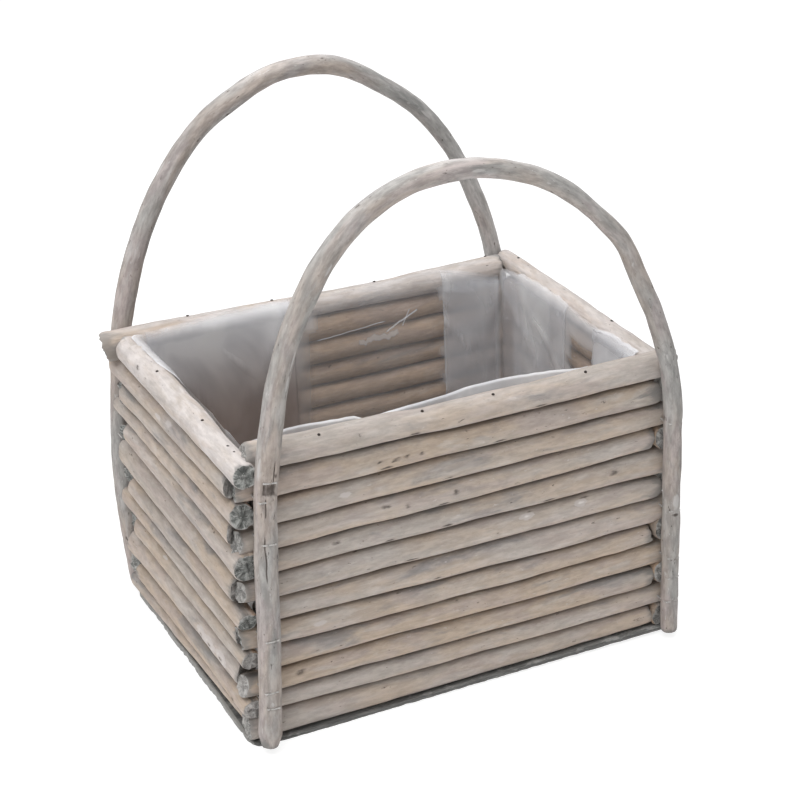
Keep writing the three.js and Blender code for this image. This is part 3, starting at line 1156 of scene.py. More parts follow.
def shape_handle(mesh, handle, settings):
    """Bends a unit rod along a handle's axis, and writes what its finish reads."""
    rng = seeded(4, 1 + handle.outward)
    share, reach, angle = rod_grid(mesh)
    run = share * handle.length
    centre, way = handle.at(run)
    radius = handle.radius(share) * (1 + 0.016 * wander(rng, run, 300 * MM, 90 * MM))
    middle, width, thinner = THIN_STRETCHES[handle.name]
    radius = radius * (1 - thinner * bump(share, middle, width))
    if handle.name == "front":
        radius = radius * (1 - FOOT_SLIMMER * (1 - ease(run, 0, FOOT_RUN)))
    height, knot, scar = press_marks(rod_marks(handle, rng, settings), run, angle, radius)
    skin = settings.skin * uneven_skin(rng, run, angle, 30) + height
    if handle.name == "front":
        depth, dark = crack_depth(handle, run, angle, radius)
        skin -= depth
        knot = np.maximum(knot, dark)
    to_end = np.minimum(run, handle.length - run)
    worn = 1 - 0.12 * np.exp(-to_end / (1.2 * MM))
    outward = np.array((0, handle.outward, 0), float)
    side = np.cross(way, outward)
    off_out = reach * worn * np.cos(angle) * (radius + skin)
    off_side = reach * worn * np.sin(angle) * (radius + skin)
    end_rough = 0.4 * MM * rough_end(rng, off_out, off_side) * (reach < 0.99)
    places = centre + np.outer(off_out, outward) + side * off_side[:, None] + way * end_rough[:, None]
    move_vertices(mesh, places)
    offset = rng.uniform(-9, 9, 3)
    write_vectors(mesh, "grain", (run + offset[0], off_out + offset[1], off_side + offset[2]))
    write_vectors(mesh, "wear", (knot, scar, np.exp(-to_end / (5 * MM))))
    write_vectors(mesh, "cut", (reach * np.cos(angle), reach * np.sin(angle), reach))
    shade_rod(mesh, handle, share, np.sin(angle) * side[:, 2])


def shade_rod(mesh, handle, share, facing_up):
    """Writes the painted light and shade of a rod, how far it is bleached, and how far its ends are
    bleached.
    """
    left_flank = FLANK_SHADES[handle.name] * plateau(share, *LEFT_FLANK)
    # Painted shade: lighter on the top and underside, darker on the sides, and on the left flanks darker
    # outside and lighter inside
    upper = 0.5 - 0.4 * np.abs(facing_up) + left_flank * np.where(facing_up > 0, 0.75, 0.3) * facing_up
    if handle.name == "front":
        # Painted light on the front arch's crown
        upper = upper - 0.15 * plateau(share, *FRONT_CROWN)
    none = np.zeros_like(share)
    write_vectors(mesh, "joint", (np.clip(upper, 0, 0.9), none, none))
    # A little bleach all over; the paler top is partly bleach and partly painted light from above, and the
    # paler underside is painted light from the floor
    bleach = 0.12 + 0.5 * ease(facing_up, 0.55, 1) + 0.2 * ease(-facing_up, 0.5, 1)
    # Painted light on the inside of the left flanks
    bleach = np.maximum(bleach, 0.7 * left_flank * ease(-facing_up, 0.1, 0.5))
    if handle.name == "back":
        bleach = np.maximum(bleach, 0.75 * plateau(share, *BACK_RIGHT_FLANK))
    write_numbers(mesh, "bleach", bleach)
    write_numbers(mesh, "fade", np.full_like(share, ROD_END_FADE))


def add_handles(settings):
    wood = willow_finish("washed_bent_willow", settings, bpy.context.scene.basket_sticks)
    ends = end_grain_finish("rod_end_grain")
    for handle in HANDLES.values():
        rings = round(handle.length / settings.ring_step)
        mesh = unit_rod(f"{handle.name}_bent_rod", settings.sides, rings)
        shape_handle(mesh, handle, settings)
        add_piece(f"{handle.name}_bent_rod", mesh, (wood, ends), (f"{handle.name}_handle",))


# Staples and nails

STAPLE_CROWN = 8.4 * MM
STAPLE_WIRE = 1.0 * MM

# How deep the crowns are driven in, how much deeper the extra ones, and how far those are tilted
DRIVEN_IN = {"left": 0.3 * MM, "right": 1.1 * MM}
EXTRA_DEEPER = 0.1 * MM
STAPLE_TILT = 0.15


def soften(bm, edges, offset, segments=2):
    """Rounds edges over."""
    bmesh.ops.bevel(
        bm,
        geom=edges,
        offset=offset,
        offset_type="OFFSET",
        segments=segments,
        profile=0.5,
        affect="EDGES",
        material=-1,
    )


def staple_shape(prong, edge):
    """A staple at the origin: its crown along X with its front at y = 0, and the prongs along +Y."""
    bm = bmesh.new()
    crown_size = Matrix.Diagonal((STAPLE_CROWN, STAPLE_WIRE, STAPLE_WIRE, 1))
    crown = Matrix.Translation((0, STAPLE_WIRE / 2, 0)) @ crown_size
    bmesh.ops.create_cube(bm, size=1, matrix=crown)
    inner = STAPLE_CROWN / 2 - STAPLE_WIRE
    for x in (-inner, inner):
        geometry = bm.verts[:] + bm.edges[:] + bm.faces[:]
        bmesh.ops.bisect_plane(bm, geom=geometry, plane_co=(x, 0, 0), plane_no=(1, 0, 0))
    bm.normal_update()
    roots = [face for face in bm.faces if face.normal.y > 0.9 and abs(face.calc_center_median().x) > inner]
    grown = bmesh.ops.extrude_face_region(bm, geom=roots)
    tips = [item for item in grown["geom"] if isinstance(item, bmesh.types.BMVert)]
    bmesh.ops.translate(bm, verts=tips, vec=(0, prong - STAPLE_WIRE, 0))
    soften(bm, bm.edges[:], edge)
    bmesh.ops.recalc_face_normals(bm, faces=bm.faces[:])
    return bm


def driven(bm, outward, place, tilt):
    """Turns a staple to face its wall, tilts its crown a little and moves it to its place."""
    facing = Matrix.Rotation(math.pi if outward > 0 else 0, 4, "Z")
    turned = Matrix.Translation(place) @ facing @ Matrix.Rotation(tilt, 4, "Y")
    bmesh.ops.transform(bm, matrix=turned, verts=bm.verts[:])
    return bm


def add_staples(settings):
    """The staples of the solids, one piece each, and the extra ones as one piece."""
    finish = wire_finish("washed_wire", settings.wire)
    rng = seeded(5)
    extras = bpy.data.meshes.new("extra_staples")
    collected = bmesh.new()
    for (wall, side), heights in EXTRA_STAPLES.items():
        handle = HANDLES[wall]
        for level in ("upper", "lower"):
            node = f"{wall}_{side}_{level}_staple"
            low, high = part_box(node)
            front = low.y if handle.outward < 0 else high.y
            crown_front = front - handle.outward * DRIVEN_IN[side]
            place = Vector(((low.x + high.x) / 2, crown_front, (low.z + high.z) / 2))
            bm = driven(staple_shape(high.y - low.y, settings.wire_edge), handle.outward, place, 0)
            add_piece(f"{node}_wire", mesh_from(bm, f"{node}_wire"), (finish,), (node,))
        for height in heights:
            centre, _ = handle.at(np.array([handle.run_at_height(side, height * MM)]))
            radius = abs(centre[0, 1]) - handle.wall_face
            seat = radius - DRIVEN_IN[side] - EXTRA_DEEPER
            place = Vector((centre[0, 0], centre[0, 1] + handle.outward * seat, centre[0, 2]))
            prong = 2 * radius + 6 * MM
            tilt = rng.uniform(-STAPLE_TILT, STAPLE_TILT)
            bm = driven(staple_shape(prong, settings.wire_edge), handle.outward, place, tilt)
            one = mesh_from(bm, "staple")
            collected.from_mesh(one)
            bpy.data.meshes.remove(one)
    collected.to_mesh(extras)
    collected.free()
    add_piece("extra_staples", extras, (finish,))


# How far a nail's head stands out of its rail and how far it is tilted, and how far the rails lie inside
# the outer faces of their walls
NAIL_PROUD = 0.25 * MM
NAIL_TILT = 0.2
RAIL_INSET = 0.4 * MM


def drive_nail(bm, seat, settings):
    """Adds a nail that points down in its seat."""
    head = bmesh.ops.create_cone(
        bm,
        cap_ends=True,
        segments=14,
        radius1=settings.nail_radius,
        radius2=0.8 * settings.nail_radius,
        depth=0.7 * MM,
        matrix=seat,
    )
    crown = {edge for vert in head["verts"] for edge in vert.link_edges}
    soften(bm, list(crown), 0.15 * MM)
    bmesh.ops.create_cone(
        bm,
        cap_ends=True,
        segments=10,
        radius1=0.2 * settings.nail_radius,
        radius2=0.5 * settings.nail_radius,
        depth=settings.nail_length,
        matrix=seat @ Matrix.Translation((0, 0, -settings.nail_length / 2)),
    )


def add_nails(settings, sticks):
    """Nails through the rails, their heads driven just into the wood, as one piece."""
    rng = seeded(6)
    bm = bmesh.new()
    for wall in WALLS:
        for place, turn in NAIL_PLACES[wall.name]:
            along = np.array([place * MM])
            low, high = layer_edges(wall, RAIL, wall.share(along), sticks)
            radius = depth_radius(high - low, RAIL, sticks)
            out = wall.plane - RAIL_INSET - radius + (radius + NAIL_PROUD) * math.sin(turn)
            up = (low[0] + high[0]) / 2 + ((high[0] - low[0]) / 2 + NAIL_PROUD) * math.cos(turn)
            spot_on_rail = Vector(wall.along * along + wall.outward * out) + Vector((0, 0, up))
            tilt = Matrix.Rotation(rng.uniform(-NAIL_TILT, NAIL_TILT), 4, "X")
            lean = Matrix.Rotation(turn, 4, Vector(wall.along)) @ tilt
            drive_nail(bm, Matrix.Translation(spot_on_rail) @ lean, settings)
    for face in bm.faces:
        face.smooth = True
    add_piece("rail_nails", mesh_from(bm, "rail_nails"), (iron_finish("dark_iron"),))


# Base board: how far the sides of its box lie from those of the solid, in millimetres, its round corners
# and edges, and how its underside rises along the front from left to right
BOARD_SHIFTS = ((3.3, -1, 0), (0, -1, 0))
BOARD_CORNER = 8 * MM
BOARD_EDGE = 0.7 * MM
UNDER_RISE = 2.4 * MM
UNDER_START = -0.3 * MM


def add_board(settings):
    """The thin board under the walls, with round corners and a broken edge."""
    low, high = (corner + Vector(shift) * MM for corner, shift in zip(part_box("base_board"), BOARD_SHIFTS))
    size = high - low
    bm = bmesh.new()
    middle = (low + high) / 2
    bmesh.ops.create_cube(bm, size=1, matrix=Matrix.Translation(middle) @ Matrix.Diagonal((*size, 1)))
    upright = [edge for edge in bm.edges if abs(edge.verts[0].co.z - edge.verts[1].co.z) > size.z / 2]
    soften(bm, upright, BOARD_CORNER, 6)
    level = [edge for edge in bm.edges if abs(edge.verts[0].co.z - edge.verts[1].co.z) < size.z / 2]
    soften(bm, level, BOARD_EDGE)
    for cuts, shortest in ((60, 100 * MM), (1, 2 * MM)):
        runs = [edge for edge in bm.edges if edge.calc_length() > shortest]
        bmesh.ops.subdivide_edges(bm, edges=runs, cuts=cuts)
    mesh = mesh_from(bm, "grey_board")
    places = vertex_places(mesh)
    rng = seeded(7)
    round_way = np.arctan2(places[:, 1] * size.x / size.y, places[:, 0])
    broken = wander(rng, round_way, 0.12, 0.02, 9) + wander(rng, round_way, 0.6, 0.2, 4)
    ply = 0.5 * wander(rng, round_way + 90 * places[:, 2], 0.2, 0.05, 6)
    reach = np.hypot(places[:, 0], places[:, 1])
    inwards = -settings.board_ragged * np.clip(0.6 + 0.5 * (broken + ply), 0, 2)
    places[:, :2] *= (1 + inwards / reach)[:, None]
    front_share = np.clip(0.5 + places[:, 0] / size.x, 0, 1)
    top_lift = foot_lift(WALLS[0], 0, front_share)
    under_lift = np.clip(UNDER_START + UNDER_RISE * front_share, 0, None)
    upward = np.where(places[:, 2] > middle.z, top_lift, under_lift)
    places[:, 2] += upward * ease(-places[:, 1], 40 * MM, 95 * MM)
    move_vertices(mesh, places)
    finish = board_finish("weathered_board", settings.board)
    add_piece("grey_board", mesh, (finish,), ("base_board",))


# Liner film: the rim's height in millimetres along each wall, from its start corner to its end corner
FILM_RIM = {
    "front": (
        (-132, 190.5), (-103, 194), (-90, 194), (-60, 192.4), (-56, 189.5), (-44, 189.5), (-25, 190.8),
        (1, 192.4), (15, 194.6), (41, 195), (54, 193.8), (67, 193.4), (81, 191.8), (93, 190), (132, 188.5),
    ),
    "right": (
        (-92, 195), (-83, 195.5), (-50, 195), (-42, 193), (-12, 194.5), (15, 197.3), (43, 198), (62, 196.5),
        (76, 194), (92, 192),
    ),
    "back": (
        (-132, 187.5), (-119, 190.5), (-104, 196), (-86, 201), (-40, 203), (19, 202.5), (90, 200),
        (122, 197), (132, 197),
    ),
    "left": (
        (-92, 196), (-84, 203), (-66, 205.5), (-45, 204.5), (-28, 200), (-12, 195), (20, 190), (92, 187),
    ),
}

# Pleats: the wall they lie on and the end of it that they start from, their width in millimetres and the
# opacity of a ply
PLEATS = {
    ("right", "start"): (50, 0.24),
    ("right", "end"): (90, 0.24),
    ("back", "start"): (43, 0.24),
    ("back", "end"): (102, 0.08),
    ("left", "end"): (30, 0.1),
}

# Where the film lies double: wall, from and to along it, heights of the lower edge at both, and opacity,
# with all lengths in millimetres
FILM_CUFFS = (
    ("back", (22, 140), (146, 153), 0.42),
    ("back", (10, 140), (172, 168), 0.55),
    ("back", (24, 140), (30, 30), 0.24),
    ("back", (-140, -84), (30, 30), 0.5),
    ("back", (-140, -84), (176, 178), 0.8),
    ("back", (-84, 140), (182, 182), 0.3),
    ("right", (-12, 100), (30, 30), 0.6),
    ("right", (-100, -40), (30, 30), 0.8),
    ("right", (-50, 100), (172, 180), 0.7),
    ("front", (-140, 140), (183, 183), 0.46),
    ("left", (-100, 100), (183, 183), 0.45),
)


class Film:
    """The liner as a strip round the walls: spans between folds, each with its plan points and plies."""

    def __init__(self, settings):
        low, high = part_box("film_liner")
        self.foot = low.z
        self.plane = {"front": -low.y, "right": high.x, "back": high.y, "left": -low.x}
        self.settings = settings
        self.spans = self.lay_spans()

    def half(self, wall):
        """Half the length of the film along a wall."""
        return self.plane[WALLS[(wall.number + 1) % 4].name] - self.settings.corner_cut

    def lay_spans(self):
        """Spans as (wall, from, to, ply from, ply to). From and to are (place, pleat) along the wall."""
        spans = []
        for wall in WALLS:
            half = self.half(wall)
            start_pleat = PLEATS.get((wall.name, "start"), (0, 0))[0] * MM
            end_pleat = PLEATS.get((wall.name, "end"), (0, 0))[0] * MM
            start, end = (-half, 0), (half, 0)
            if start_pleat:
                fold = (-half, start_pleat)
                spans += [(wall, start, fold, 2, 1.5), (wall, fold, start, 1.5, 1)]
            spans.append((wall, start, end, 1 if start_pleat else 0, 0))
            if end_pleat:
                fold = (half, -end_pleat)
                spans += [(wall, end, fold, 0.5, 1), (wall, fold, end, 1.5, 2)]
        return spans

    def rim(self, wall, along):
        places, heights = zip(*FILM_RIM[wall.name])
        height = np.interp(along, MM * np.array(places), MM * np.array(heights))
        ripple = wander(seeded(9, wall.number), along, 30 * MM, 9 * MM)
        return height + (0.7 if wall.name == "right" else 0.2) * MM * ripple


def film_columns(film):
    """Columns round the film: the span and the share of the span of each one, closer at the folds."""
    columns = []
    for number, (_, (start, start_pleat), (end, end_pleat), *_) in enumerate(film.spans):
        length = abs(end + end_pleat - start - start_pleat)
        count = max(4, round(length / film.settings.column_step))
        for step in range(count + 1):
            share = step / count
            columns.append((number, share - 0.6 * math.sin(FULL_TURN * share) / FULL_TURN))
    columns.append((0, 0))
    return columns


def film_point(film, span, share, height):
    """Places along the wall at shares of a span and of the height, and how far the plies stand off it."""
    _, (start, start_pleat), (end, end_pleat), ply_from, ply_to = span
    open_up = ease(height, 0.02, 0.4)
    first = start + start_pleat * open_up
    last = end + end_pleat * open_up
    along = first + (last - first) * share
    ply = (ply_from + (ply_to - ply_from) * share) * film.settings.ply * ease(height, 0, 0.15)
    return along, ply


def crease_field(rng, along, height, count, length_range, width_range):
    """Soft ridges across a wall of film, 0 to about 1."""
    field = np.zeros_like(along)
    for _ in range(count):
        x, z = rng.uniform(along.min(), along.max()), rng.uniform(0.03, 0.2)
        way = rng.uniform(0.15, math.pi - 0.15)
        length, width = rng.uniform(*length_range), rng.uniform(*width_range)
        forward = (along - x) * math.cos(way) + (height - z) * math.sin(way)
        across = (height - z) * math.cos(way) - (along - x) * math.sin(way)
        across = across + 4 * MM * np.sin(forward * 45 + rng.uniform(0, FULL_TURN))
        ridge = np.exp(-((forward / length) ** 2) - (across / width) ** 2)
        field = np.maximum(field, rng.uniform(0.4, 1) * ridge)
    return field


def cuff_veil(wall, along, z, rng):
    """Opacity of the film's double places at points of a wall."""
    veil = np.zeros_like(along)
    for name, (start, end), (first, last), opacity in FILM_CUFFS:
        if name != wall.name:
            continue
        side = along + 2.5 * MM * wander(rng, z, 60 * MM, 15 * MM)
        within = plateau(side, (start * MM - MM, start * MM + 3 * MM), (end * MM - 3 * MM, end * MM + MM))
        edge = MM * np.interp(along / MM, (start, end), (first, last))
        edge = edge + 1.2 * MM * wander(rng, along, 90 * MM, 30 * MM)
        veil = np.maximum(veil, opacity * within * ease(z, edge - 2 * MM, edge + 4 * MM))
    return veil


# How far the film keeps clear of its wall and of the rails
FILM_CLEAR = 0.4 * MM
RAIL_CLEAR = 0.7 * MM

# Creases on a span of film: number, range of lengths and range of widths
CREASES = (7, mm(20, 60), mm(3, 7))

# The right wall's belly near its front corner: depth, where it begins, and where it ends upwards
BELLY_DEPTH = 6 * MM
BELLY_RUN = mm(36, 46)
BELLY_TOP = mm(150, 190)

# Milky places, and places of painted shade, as ranges along the walls and up them
BACK_MILKY = mm(8, 30)
BACK_PAINTED_SHADE_TOP = mm(118, 196)
BACK_CLEAR_TOP = mm(184, 192)
RIGHT_CLEAR_TOP = mm(186, 193)
RIGHT_PAINTED_SHADE = mm(68, 74)
RIGHT_PAINTED_SHADE_TOP = mm(150, 186)


def over_rail(wall, along, way_up, out, sticks):
    """Lays film onto the round inner side of a rail: how far out and how high it then lies."""
    if wall.name == "front":
        return out, way_up
    low, high = layer_edges(wall, RAIL, wall.share(along), sticks)
    radius = (high - low) / 2 + RAIL_CLEAR
    axis = (low + high) / 2
    turn = np.clip((way_up - axis) / radius, 0, 1.6)
    return out + radius * (1 - np.cos(turn)), np.minimum(way_up, axis) + radius * np.sin(turn)


def close_floor(bm, foot_height):
    """Closes the film's open lower edge with a floor of rings."""

    def at_foot(edge):
        return max(vert.co.z for vert in edge.verts) < foot_height + 0.5 * MM

    edges = [edge for edge in bm.edges if edge.is_boundary and at_foot(edge)]
    for shrink in (0.93, 0.8, 0.7, 0.5):
        grown = bmesh.ops.extrude_edge_only(bm, edges=edges)["geom"]
        edges = [item for item in grown if isinstance(item, bmesh.types.BMEdge)]
        for vert in {vert for edge in edges for vert in edge.verts}:
            vert.co.x *= shrink
            vert.co.y *= shrink
    floor = bmesh.ops.edgeloop_fill(bm, edges=edges)["faces"]
    bmesh.ops.poke(bm, faces=floor)


def film_stand_off(film, span, along, z, rim, height, rng):
    """How far a span of film stands off its wall without its plies, and its creases."""
    wall, (_, start_pleat), (_, end_pleat), *_ = span
    creases = crease_field(rng, along, z, *CREASES)
    sag = 0.5 + 0.5 * wander(rng, along + 0.6 * z, 130 * MM, 45 * MM)
    calm = ease(height, 0, 0.1)
    inward = FILM_CLEAR + calm * film.settings.billow * (creases + 0.35 * np.clip(sag, 0, 2))
    if wall.name == "right" and not (start_pleat or end_pleat):
        inward += BELLY_DEPTH * ease(-along, *BELLY_RUN) * (1 - ease(z, *BELLY_TOP)) * calm
    if wall.name == "front":
        inward += 1.2 * MM * ease(z, rim - 7 * MM, rim) + 0.9 * MM * ease(z, rim - 1.4 * MM, rim) ** 2
    return inward, creases


def ply_veil(film, span, share, along, z, rng):
    """Opacity of a span's plies, with their folds and double places."""
    wall, (_, start_pleat), (_, end_pleat), *_ = span
    width = start_pleat or end_pleat
    if width:
        opacity = PLEATS[wall.name, "start" if width > 0 else "end"][1]
        to_fold = share if start_pleat else 1 - share
        veil = opacity * (1 + 1.2 * np.exp(-to_fold * abs(width) / MM))
    else:
        veil = np.maximum(film.settings.veil, cuff_veil(wall, along, z, rng))
    half = film.half(wall)
    return np.maximum(veil, 0.45 * ease(np.abs(along), half - 4 * MM, half - MM))


def wall_veil(film, wall, along, z, rim, veil):
    """Opacity of the film on a wall up to its rim, and how much painted shade it has."""
    dusk = np.zeros_like(along)
    edge_veil, edge_depth = film.settings.rim_veil, 2 * MM
    if wall.name == "back":
        left_part = ease(along, *BACK_MILKY)
        low_down = 1 - ease(z, *BACK_PAINTED_SHADE_TOP)
        veil = np.maximum(veil, (0.86 - 0.2 * low_down) * left_part)
        veil = veil * (1 - 0.65 * ease(z, *BACK_CLEAR_TOP))
        # Painted shade: the back wall's film is tinted brown-grey low down on its left part
        dusk = left_part * low_down
        edge_veil, edge_depth = 0.12, 6 * MM
    veil = veil + 0.1 * ease(z, rim - 30 * MM, rim)
    if wall.name == "right":
        veil = veil * (1 - 0.55 * ease(z, *RIGHT_CLEAR_TOP))
        edge_veil = edge_veil * (0.6 - 0.32 * ease(along, -46 * MM, -38 * MM))
        # Painted shade low on the right wall near its back corner
        dusk = 0.4 * ease(along, *RIGHT_PAINTED_SHADE) * (1 - ease(z, *RIGHT_PAINTED_SHADE_TOP))
    if wall.name == "left":
        edge_veil = 0.85 * edge_veil
    at_rim = ease(z, rim - edge_depth, rim - 0.4 * MM)
    return veil + (edge_veil - veil) * at_rim, dusk


def shape_film(mesh, film, columns):
    """Lays a flat grid of film into the basket, and writes what its finish reads."""
    sticks = bpy.context.scene.basket_sticks
    grid = vertex_places(mesh)
    column = np.rint((grid[:, 0] + 0.5) * (len(columns) - 1)).astype(int)
    heights = 1 - np.clip(0.5 - grid[:, 1], 0, 1) ** 1.8
    places = np.zeros_like(grid)
    crease, milk, dusk = np.zeros((3, len(grid)))
    for number, span in enumerate(film.spans):
        wall, _, _, ply_from, _ = span
        shares = np.array([share if owner == number else np.nan for owner, share in columns])
        mine = ~np.isnan(shares[column])
        share, height = shares[column[mine]], heights[mine]
        along, ply = film_point(film, span, share, height)
        rim = film.rim(wall, along) - 1.2 * MM * ply_from
        z = film.foot + (rim - film.foot) * height
        rng = seeded(8, wall.number)
        inward, crease[mine] = film_stand_off(film, span, along, z, rim, height, rng)
        out, level = over_rail(wall, along, z, film.plane[wall.name] - inward - ply, sticks)
        places[mine] = np.outer(along, wall.along) + np.outer(out, wall.outward)
        places[mine, 2] = level
        veil = ply_veil(film, span, share, along, z, rng)
        milk[mine], dusk[mine] = wall_veil(film, wall, along, z, rim, veil)
    move_vertices(mesh, places)
    for name, values in (("crease", crease), ("milk", milk), ("dusk", dusk)):
        write_numbers(mesh, name, values)


def add_film(settings):
    """The liner: one sheet of film with pleats at its corners, creases and a wavy rim."""
    film = Film(settings)
    columns = film_columns(film)
    bm = bmesh.new()
    bmesh.ops.create_grid(bm, x_segments=len(columns) - 1, y_segments=settings.rows, size=0.5)
    mesh = mesh_from(bm, "film_sheet")
    shape_film(mesh, film, columns)
    bm = bmesh.new()
    bm.from_mesh(mesh)
    bmesh.ops.remove_doubles(bm, verts=bm.verts[:], dist=0.08 * MM)
    close_floor(bm, film.foot)
    bmesh.ops.recalc_face_normals(bm, faces=bm.faces[:])
    for face in bm.faces:
        face.smooth = True
    bm.to_mesh(mesh)
    bm.free()
    finish = film_finish("milky_film", settings)
    piece = add_piece("film_sheet", mesh, (finish,), ("film_liner",))
    rails = [f"{wall.node(RAIL)}_willow" for wall in WALLS]


# Finishes

class Finish:
    """A node material in the making, with short calls for the nodes that the finishes here share."""

    def __init__(self, name):
        self.material = bpy.data.materials.new(name)
        self.material.use_nodes = True
        self.tree = self.material.node_tree
        self.shader = self.tree.nodes["Principled BSDF"]

    def feed(self, socket, value):
        if isinstance(value, bpy.types.NodeSocket):
            self.tree.links.new(value, socket)
        else:
            socket.default_value = value

    def node(self, kind, inputs, **settings):
        node = self.tree.nodes.new(kind)
        for key, value in settings.items():
            setattr(node, key, value)
        for key, value in inputs.items():
            self.feed(node.inputs[key], value)
        return node

    def number(self, name):
        return self.node("ShaderNodeAttribute", {}, attribute_name=name).outputs["Fac"]

    def vector(self, name):
        return self.node("ShaderNodeAttribute", {}, attribute_name=name).outputs["Vector"]

    def place(self):
        return self.node("ShaderNodeTexCoord", {}).outputs["Object"]

    def stretched(self, vector, factors):
        return self.node("ShaderNodeMapping", {"Vector": vector, "Scale": factors}).outputs["Vector"]

    def noise(self, vector, stretch=(1, 1, 1), scale=1.0, detail=3.0, roughness=0.55, distortion=0.0):
        inputs = {
            "Vector": self.stretched(vector, stretch),
            "Scale": scale,
            "Detail": detail,
            "Roughness": roughness,
            "Distortion": distortion,
        }
        return self.node("ShaderNodeTexNoise", inputs).outputs["Fac"]

    def ranged(self, value, low, high, to_low=0.0, to_high=1.0):
        inputs = {"Value": value, "From Min": low, "From Max": high, "To Min": to_low, "To Max": to_high}
        return self.node("ShaderNodeMapRange", inputs, interpolation_type="SMOOTHSTEP").outputs["Result"]

    def reckon(self, operation, first, second):
        return self.node("ShaderNodeMath", {0: first, 1: second}, operation=operation).outputs["Value"]

    def plus(self, first, second):
        return self.reckon("ADD", first, second)

    def times(self, first, second):
        return self.reckon("MULTIPLY", first, second)

    def blend(self, factor, first, second, blend_type="MIX"):
        inputs = {0: factor, 6: as_colour(first), 7: as_colour(second)}
        return self.node("ShaderNodeMix", inputs, data_type="RGBA", blend_type=blend_type).outputs[2]

    def shaded(self, colour, light):
        return self.blend(1.0, colour, light, "MULTIPLY")

    def cover(self, colour, paint, value, low, high, most):
        """Covers a colour with another one where a value rises through a range."""
        return self.blend(self.ranged(value, low, high, 0, most), colour, paint)

    def bump(self, height, distance, strength=1.0):
        inputs = {"Height": height, "Distance": distance, "Strength": strength}
        return self.node("ShaderNodeBump", inputs).outputs["Normal"]

    def split(self, vector):
        return self.node("ShaderNodeSeparateXYZ", {"Vector": vector}).outputs

    def done(self, **inputs):
        for key, value in inputs.items():
            self.feed(self.shader.inputs[key.replace("_", " ")], value)
        return self.material


def as_colour(value):
    """A colour with its alpha, or a socket as it is."""
    return value if isinstance(value, bpy.types.NodeSocket) else (*value, 1)


def willow_finish(name, tones, marks):
    """Peeled willow with a thin grey wash, stains, fibres, knots and scars, and painted light and shade
    across each stick and rod, darkest at a stick's top under the stick above.
    """
    finish = Finish(name)
    grain = finish.vector("grain")
    knot, scar, tip = finish.split(finish.vector("wear"))
    # upper is the painted shade written on the mesh; edge marks each stick's lower edge, where the chips lie
    upper, edge, tone = finish.split(finish.vector("joint"))
    bleach = finish.number("bleach")
    broad = finish.noise(grain, (11, 45, 45), detail=2, distortion=0.4)
    warmth = finish.plus(broad, finish.times(tone, 0.06))
    colour = finish.blend(finish.ranged(warmth, 0.38, 0.62), tones.cool, tones.warm)
    patch = finish.noise(grain, (20, 85, 85), detail=3, distortion=0.6)
    colour = finish.cover(colour, tones.blush, patch, 0.46, 0.64, 0.65)
    washed = finish.noise(grain, (34, 130, 130), detail=4, roughness=0.6, distortion=0.5)
    colour = finish.cover(colour, tones.wash, washed, 0.5, 0.7, 0.5)
    # Thick pale wash where bleached; on the rods this also paints light on the top, the underside and the
    # inside of the left flanks
    thick = finish.times(bleach, finish.ranged(washed, 0.35, 0.6, 0.4, 1))
    colour = finish.blend(thick, colour, tones.pale)
    stained = finish.noise(grain, (18, 75, 75), detail=4, roughness=0.62, distortion=0.6)
    high_stain = finish.plus(stained, finish.times(finish.reckon("SUBTRACT", upper, 0.5), 0.16))
    stain = finish.ranged(high_stain, 0.56, 0.74, 0, 0.65)
    stain = finish.times(stain, finish.ranged(bleach, 0.3, 1, 1, 0.45))
    colour = finish.blend(stain, colour, tones.stain)
    blotch = finish.noise(grain, (90, 300, 300), detail=4, roughness=0.65)
    mottled = finish.ranged(blotch, 0.36, 0.64, 1 - 0.24 * tones.mottle, 1 + 0.16 * tones.mottle)
    colour = finish.shaded(colour, mottled)
    fibre = finish.noise(grain, (60, 900, 900), detail=3, roughness=0.65)
    shade = finish.ranged(fibre, 0.3, 0.7, 1 - 0.16 * tones.streak, 1 + 0.1 * tones.streak)
    colour = finish.shaded(colour, shade)
    chip = finish.noise(grain, (150, 420, 420), detail=4, roughness=0.62)
    reach = 0.69 - 0.06 * tones.mottle
    colour = finish.cover(colour, marks.dark, chip, reach, reach + 0.06, 0.7)
    colour = finish.cover(colour, tones.pale, chip, 1 - reach, 0.94 - reach, 0.7)
    broken = finish.reckon("SUBTRACT", chip, 0.5)
    torn = finish.plus(scar, finish.times(broken, 1.2))
    colour = finish.cover(colour, tones.pale, torn, 0.35, 0.6, 0.75)
    colour = finish.cover(colour, marks.flake, scar, 0.95, 1.5, 0.65)
    ragged_knot = finish.plus(knot, finish.times(broken, 0.9))
    colour = finish.cover(colour, marks.dark, ragged_knot, 0.3, 0.8, 0.9)
    ragged_tip = finish.plus(tip, finish.times(finish.reckon("SUBTRACT", stained, 0.5), 2.4))
    colour = finish.cover(colour, marks.tip_stain, ragged_tip, 0.4, 0.85, 0.72)
    inside = finish.ranged(tone, 1.6, 3.2)
    colour = finish.blend(inside, colour, finish.shaded(colour, (0.88, 0.8, 0.73)))
    nicked = finish.times(edge, finish.ranged(stained, 0.57, 0.63))
    colour = finish.blend(finish.times(nicked, 0.75), colour, marks.dark)
    # Painted light and shade: lighter towards a stick's lower edge and darker towards its top, with a
    # painted shadow line right under the stick above; on the rods, lighter on the top and the underside
    lit = finish.ranged(upper, 0.05, 0.98, 1.1, 0.84)
    colour = finish.shaded(colour, lit)
    colour = finish.cover(colour, marks.dark, upper, 0.94, 1.0, 0.45)
    roughness = finish.ranged(washed, 0.3, 0.7, 0.74, 0.92)
    height = finish.plus(finish.times(fibre, 0.3), finish.plus(blotch, chip))
    return finish.done(
        Base_Color=colour,
        Roughness=roughness,
        Normal=finish.bump(height, 0.45 * MM),
        Specular_IOR_Level=0.25,
    )


